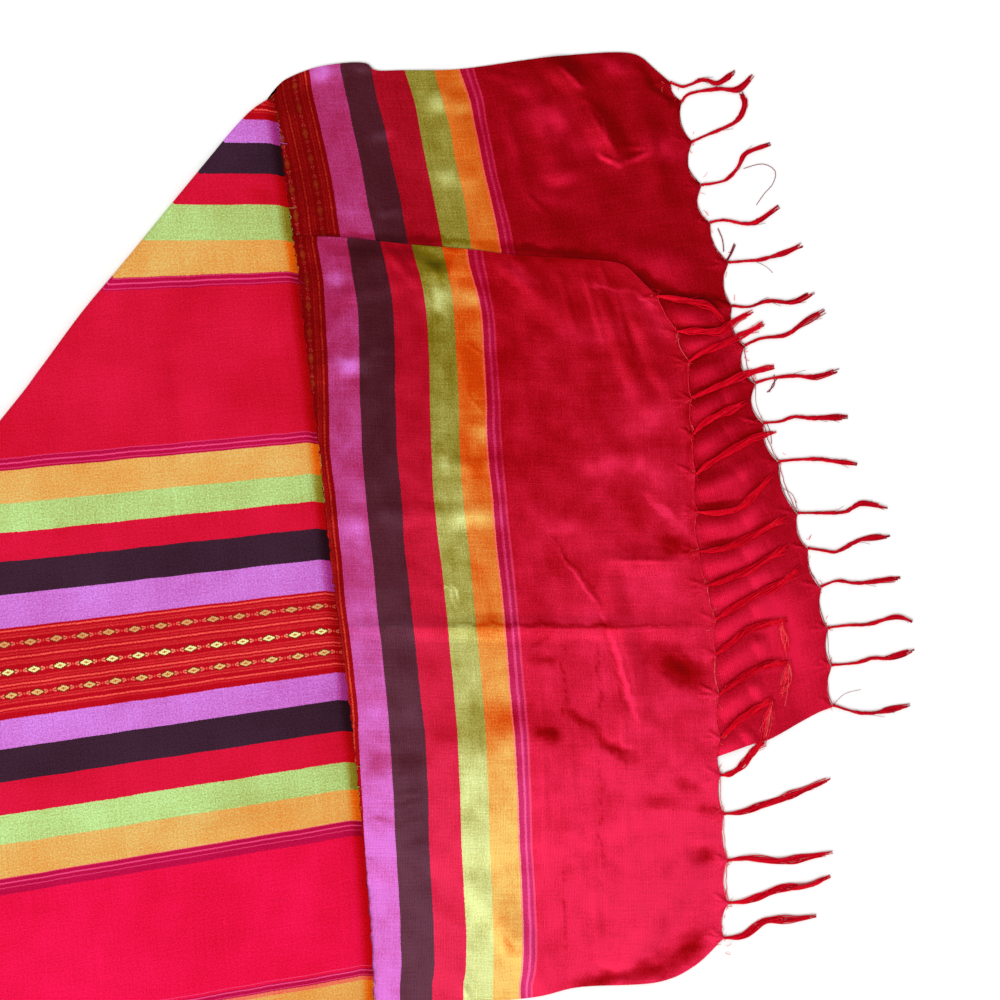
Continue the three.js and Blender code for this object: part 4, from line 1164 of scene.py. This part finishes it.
def silk_material(name, kind, stripes, start, away, turned, painted_sheen_patches):
    silk = SILKS[kind]
    tree = Tree(name)
    cloth = tree.add("ShaderNodeAttribute", attribute_name="cloth").outputs["Vector"]
    axes = tree.add("ShaderNodeSeparateXYZ")
    tree.link(cloth, axes.inputs[0])
    across, along, turn = axes.outputs
    flat = tree.add("ShaderNodeCombineXYZ")
    tree.link(across, flat.inputs[0])
    tree.link(along, flat.inputs[1])
    cloth = flat.outputs[0]
    wander = tree.noise(cloth, 1.0, 1.0, (0.03, 0.01, 1))
    jag = tree.noise(cloth, 1.0, 0.0, (1.1, 0.05, 1))
    along = tree.unsettle(tree.unsettle(along, wander, 1.6), jag, 1.0)

    # single threads both ways, slubs, and painted patches of sheen on crumpled silk
    weft = tree.noise(cloth, 1.0, 1.0, (0.02, 0.8, 1))
    warp = tree.noise(cloth, 1.0, 1.0, (0.8, 0.02, 1))
    speckle = tree.noise(cloth, 1.0, 2.0, (0.7, 0.7, 1))
    painted_sheen_clouds = tree.noise(cloth, 0.045, 6.0)
    painted_sheen_clouds = tree.clamp(tree.math("MULTIPLY_ADD", painted_sheen_clouds, 2.6, -0.8), 0.0, 1.0)
    slub = tree.math("GREATER_THAN", tree.noise(cloth, 1.0, 0.0, (0.4, 0.008, 1)), 0.74)
    # the painted sheen: 0 gives the painted shaded colours, 1 the painted lit ones
    share = turn
    for field, amount in ((weft, 0.22), (warp, 0.22), (speckle, silk["speckle"]), (painted_sheen_clouds, painted_sheen_patches)):
        share = tree.unsettle(share, field, amount)
    share = tree.math("ADD", share, tree.math("MULTIPLY", slub, 0.05))
    # painted shade: darker still where the painted sheen falls below 0
    painted_shade = tree.clamp(tree.math("MULTIPLY_ADD", share, 0.45, 1.0), 0.7, 1.0)
    share = tree.clamp(share, 0.0, 1.1)

    starts, centres, finish = stripe_edges(stripes, start)
    span = finish - start
    place = tree.math("DIVIDE", tree.math("SUBTRACT", along, start), span)

    def stripes_in(colours):
        stops = [(max(0.0, (edge - start) / span), seen(*colours[kind])) for edge, kind in starts]
        return tree.ramp(place, stops)

    # each stripe mixed from its painted shaded copy to its painted lit copy
    colour = tree.mix(share, stripes_in(away), stripes_in(turned))
    colour.node.clamp_factor = True

    # fine pink threads in the pins, brighter with the painted sheen
    painted_light = tree.math("MULTIPLY_ADD", share, *silk["painted_light"])
    pin = nearest_offset(tree, along, centres["pins"])
    for side, half, thread in silk["pins"]:
        mark = tree.math("MULTIPLY", tree.line(pin, side, half), painted_light)
        colour = tree.mix(mark, colour, seen(*thread))

    # coral threads and rows of small lozenges in the bands, brighter with the painted sheen
    band = nearest_offset(tree, along, centres["band"])
    inside = tree.math("LESS_THAN", tree.math("ABSOLUTE", band), 33.0)
    fibre = tree.math("MULTIPLY_ADD", speckle, 1.6, 0.2)
    for offset, strength in BAND_LINES:
        mark = tree.math("MULTIPLY", tree.line(band, offset, 0.6), tree.math("MULTIPLY", painted_light, strength))
        colour = tree.mix(tree.math("MULTIPLY", mark, fibre), colour, seen(*silk["band_line"]))
    for offset, thread, fade in BAND_ROWS:
        drawn = tree.math("MULTIPLY", inside, tree.math("MULTIPLY", painted_light, fade))
        thread = seen(*(silk["lozenge"] or thread))
        colour = lozenge_row(tree, colour, across, band, offset, thread, drawn)
    # the painted shade darkens all colours
    colour = tree.mix(1.0, colour, grey(tree, painted_shade), "MULTIPLY")

    # raised threads both ways
    ribs = tree.math("SINE", tree.math("MULTIPLY", along, 2 * math.pi / 1.3))
    ends = tree.math("SINE", tree.math("MULTIPLY", across, 2 * math.pi / 1.1))
    relief = tree.math("ADD", tree.math("MULTIPLY", ribs, 0.3), tree.math("MULTIPLY", ends, 0.25))
    relief = tree.math("ADD", relief, tree.math("MULTIPLY", tree.math("ADD", weft, warp), 1.4))
    return tree.finish(colour, relief, (0.5, 0.00022), silk["metallic"], silk["roughness"], 0.02)


# The lozenge bands: lines as offset and strength, rows of lozenges as offset, thread and strength
BAND_HALF = 34.85
BAND_LINES = [
    (-30.1, 1.0), (-27.2, 0.35), (-25.2, 0.5), (-14.5, 0.5), (-12.2, 0.35), (-9.5, 1.0), (-6.4, 0.35),
    (-4.6, 0.4), (6.5, 0.4), (8.6, 0.35), (11.1, 1.0), (13.8, 0.6), (22.8, 0.35), (24.8, 0.5), (29.3, 1.0),
    (31.6, 0.3),
]
BAND_ROWS = [(-20.0, (252, 190, 124), 0.9), (1.2, (252, 240, 160), 1.2), (19.1, (250, 204, 130), 1.0)]
LOZENGE_PITCH = 22.4
LOZENGE_START = 15.7


def lozenge_row(tree, colour, across, band, offset, thread, mark):
    """A row of small lozenges with a dark stepped outline, a dash inside and dots between them."""
    def stepped(value, step):
        return tree.math("ABSOLUTE", tree.math("SNAP", tree.math("ADD", value, step / 2), step))

    part = tree.math("DIVIDE", tree.math("SUBTRACT", across, LOZENGE_START), LOZENGE_PITCH)
    part = tree.math("FRACT", tree.math("ADD", part, 0.5))
    p = stepped(tree.math("MULTIPLY_ADD", part, LOZENGE_PITCH, -LOZENGE_PITCH / 2), 0.8)
    q = stepped(tree.math("SUBTRACT", band, offset), 0.65)

    def diamond(x, y, wide, high):
        aside = tree.math("ABSOLUTE", tree.math("SUBTRACT", p, x))
        up = tree.math("ABSOLUTE", tree.math("SUBTRACT", q, y))
        size = tree.math("ADD", tree.math("DIVIDE", aside, wide), tree.math("DIVIDE", up, high))
        return tree.math("MULTIPLY", tree.math("LESS_THAN", size, 1.0), mark)

    dark = seen(84, 52, 12)
    colour = tree.mix(tree.math("MULTIPLY", diamond(0.0, 0.0, 7.2, 3.6), 0.8), colour, dark)
    colour = tree.mix(diamond(0.0, 0.0, 5.6, 2.5), colour, thread)
    colour = tree.mix(diamond(0.0, 0.0, 2.2, 0.8), colour, seen(166, 70, 30))
    for x, y in ((6.8, 1.1), (8.6, 0.5)):
        colour = tree.mix(tree.math("MULTIPLY", diamond(x, y, 1.0, 0.8), 0.9), colour, seen(252, 150, 112))
    return tree.mix(diamond(11.2, 0.0, 1.0, 0.8), colour, seen(250, 84, 76))


def yarn_material():
    tree = Tree("fringe_yarn")
    place = tree.add("ShaderNodeTexCoord").outputs["Object"]
    tint = tree.add("ShaderNodeSeparateXYZ")
    tree.link(tree.add("ShaderNodeAttribute", attribute_name="cloth").outputs["Vector"], tint.inputs[0])
    fine = tree.noise(place, 500.0, 2.0)
    share = tree.math("MULTIPLY", tree.unsettle(tint.outputs[0], fine, 0.7), 0.62)
    stops = [(0.0, seen(130, 1, 26)), (0.25, seen(194, 3, 32)), (0.5, seen(236, 8, 38)),
             (0.75, seen(248, 42, 66)), (0.9, seen(255, 86, 94)), (1.0, seen(255, 124, 118))]
    colour = tree.mix(tint.outputs[1], tree.ramp(share, stops, "LINEAR"), seen(100, 56, 76))
    return tree.finish(colour, fine, (0.4, 0.0002), 0.15, 0.42, 0.05)


def floor_material():
    tree = Tree("floor")
    place = tree.add("ShaderNodeTexCoord").outputs["Object"]
    grain = tree.noise(place, 300.0, 2.0)
    colour = tree.mix(grain, (0.86, 0.86, 0.855, 1), (0.88, 0.88, 0.875, 1))
    tree.link(colour, tree.shader.inputs["Base Color"])
    tree.shader.inputs["Roughness"].default_value = 0.9
    return tree.material


# --- stage ---------------------------------------------------------------------------------

FRAME_WIDTH = 0.8545
CAMERA_HEIGHT = 1.7


def add_camera():
    data = bpy.data.cameras.new("camera")
    data.sensor_width = 36.0
    data.sensor_fit = "HORIZONTAL"
    data.lens = 36.0 * CAMERA_HEIGHT / FRAME_WIDTH
    camera = bpy.data.objects.new("camera", data)
    camera.location = (-PLAN_CENTRE[0] * MM, -PLAN_CENTRE[1] * MM, CAMERA_HEIGHT)
    bpy.context.scene.collection.objects.link(camera)
    bpy.context.scene.camera = camera


def add_sun(name, azimuth, elevation, angle, strength):
    """Even light from a compass direction (degrees from +X) and a height above the surface."""
    data = bpy.data.lights.new(name, "SUN")
    data.energy = strength
    data.angle = math.radians(angle)
    light = bpy.data.objects.new(name, data)
    light.location = (0, 0, 2)
    light.rotation_euler = (0, math.radians(90 - elevation), math.radians(azimuth))
    bpy.context.scene.collection.objects.link(light)


def add_stage():
    bpy.ops.mesh.primitive_plane_add(size=8, location=(0, 0, -0.0003))
    floor = bpy.context.object
    floor.name = "floor"
    floor.data.materials.append(floor_material())
    world = bpy.data.worlds.new("studio")
    world.use_nodes = True
    world.node_tree.nodes["Background"].inputs["Color"].default_value = (1, 1, 1, 1)
    world.node_tree.nodes["Background"].inputs["Strength"].default_value = 0.8
    bpy.context.scene.world = world
    add_sun("key", 235, 50, 40, 1.7)
    bpy.context.scene.view_settings.view_transform = "Standard"


# --- the scarf -----------------------------------------------------------------------------

BODY_STRIPES_START = -40.0
GATHER = {"reach": 14, "height": 0.7}
# Gaps between knots with a slack thread, and front strands that are frayed
BACK_SLACK = (8, 9, 10, 11, 15)
FRONT_SLACK = (14, 15, 16)
FRONT_FRAYED = (2, *range(7, 14))

add_camera()
body_silk = silk_material(
    "body_silk", "body", BODY_STRIPES, BODY_STRIPES_START, BODY_PAINTED_SHADED, BODY_PAINTED_LIT, 0.08)
back_silk = silk_material("back_silk", "end", END_STRIPES, 0.0, BACK_PAINTED_SHADED, BACK_PAINTED_LIT, 0.14)
front_silk = silk_material("front_silk", "end", END_STRIPES, 0.0, END_PAINTED_SHADED, END_PAINTED_LIT, 0.3)
yarn = yarn_material()

body = body_stretch()
selvage = selvage_threads()
under = hidden_layers()
back_edge = Fringed(BACK_TOP[-1], BACK_STRANDS, BACK_SCALLOPS)
front_edge = Fringed(FRONT_TOP[-1], FRONT_STRANDS, FRONT_SCALLOPS)
BACK_GATHERS = gathers(BACK_STRANDS, back_edge, **GATHER)
FRONT_GATHERS = gathers(FRONT_STRANDS, front_edge, **GATHER)
back = end_cloth("back_end_cloth", BACK_TOP, BACK_BOTTOM, BACK_LEFT, back_edge, back_height,
                 back_painted_sheen, BACK_HEIGHTS, BACK_WEFTS)
front = end_cloth("front_end_cloth", FRONT_TOP, FRONT_BOTTOM, FRONT_LEFT, front_edge, front_height,
                  front_painted_sheen, FRONT_HEIGHTS, FRONT_WEFTS)
back_fringe = fringe_piece(
    "back_fringe_strands", BACK_STRANDS, back_strand_rest, (), 0.0,
    edge_threads(back_edge, back_strand_rest, BACK_SLACK, (0.05, 0.3)),
    root_fuzz(BACK_STRANDS, back_strand_rest, 5), loose_threads(back_strand_rest))
front_fringe = fringe_piece(
    "front_fringe_strands", FRONT_STRANDS, front_strand_rest, FRONT_FRAYED, 1.5,
    edge_threads(front_edge, front_strand_rest, FRONT_SLACK, (0.9, 1.2, 1.5)),
    root_fuzz(FRONT_STRANDS, front_strand_rest, 15), tufts(front_strand_rest))

PIECES = [
    (body, "body_stretch", "striped_silk", body_silk),
    (under, "hidden_layers", "plain_silk", body_silk),
    (back, "end_back", "striped_silk", back_silk),
    (front, "end_front", "striped_silk", front_silk),
    (back_fringe, "fringe_back", "fringe_yarn", yarn),
    (front_fringe, "fringe_front", "fringe_yarn", yarn),
]
for piece, node, slot, material in PIECES:
    piece.data.materials.clear()
    piece.data.materials.append(material)
    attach(piece, "root")
    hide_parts(node)
selvage.data.materials.append(body_silk)
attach(selvage, "root")

add_stage()
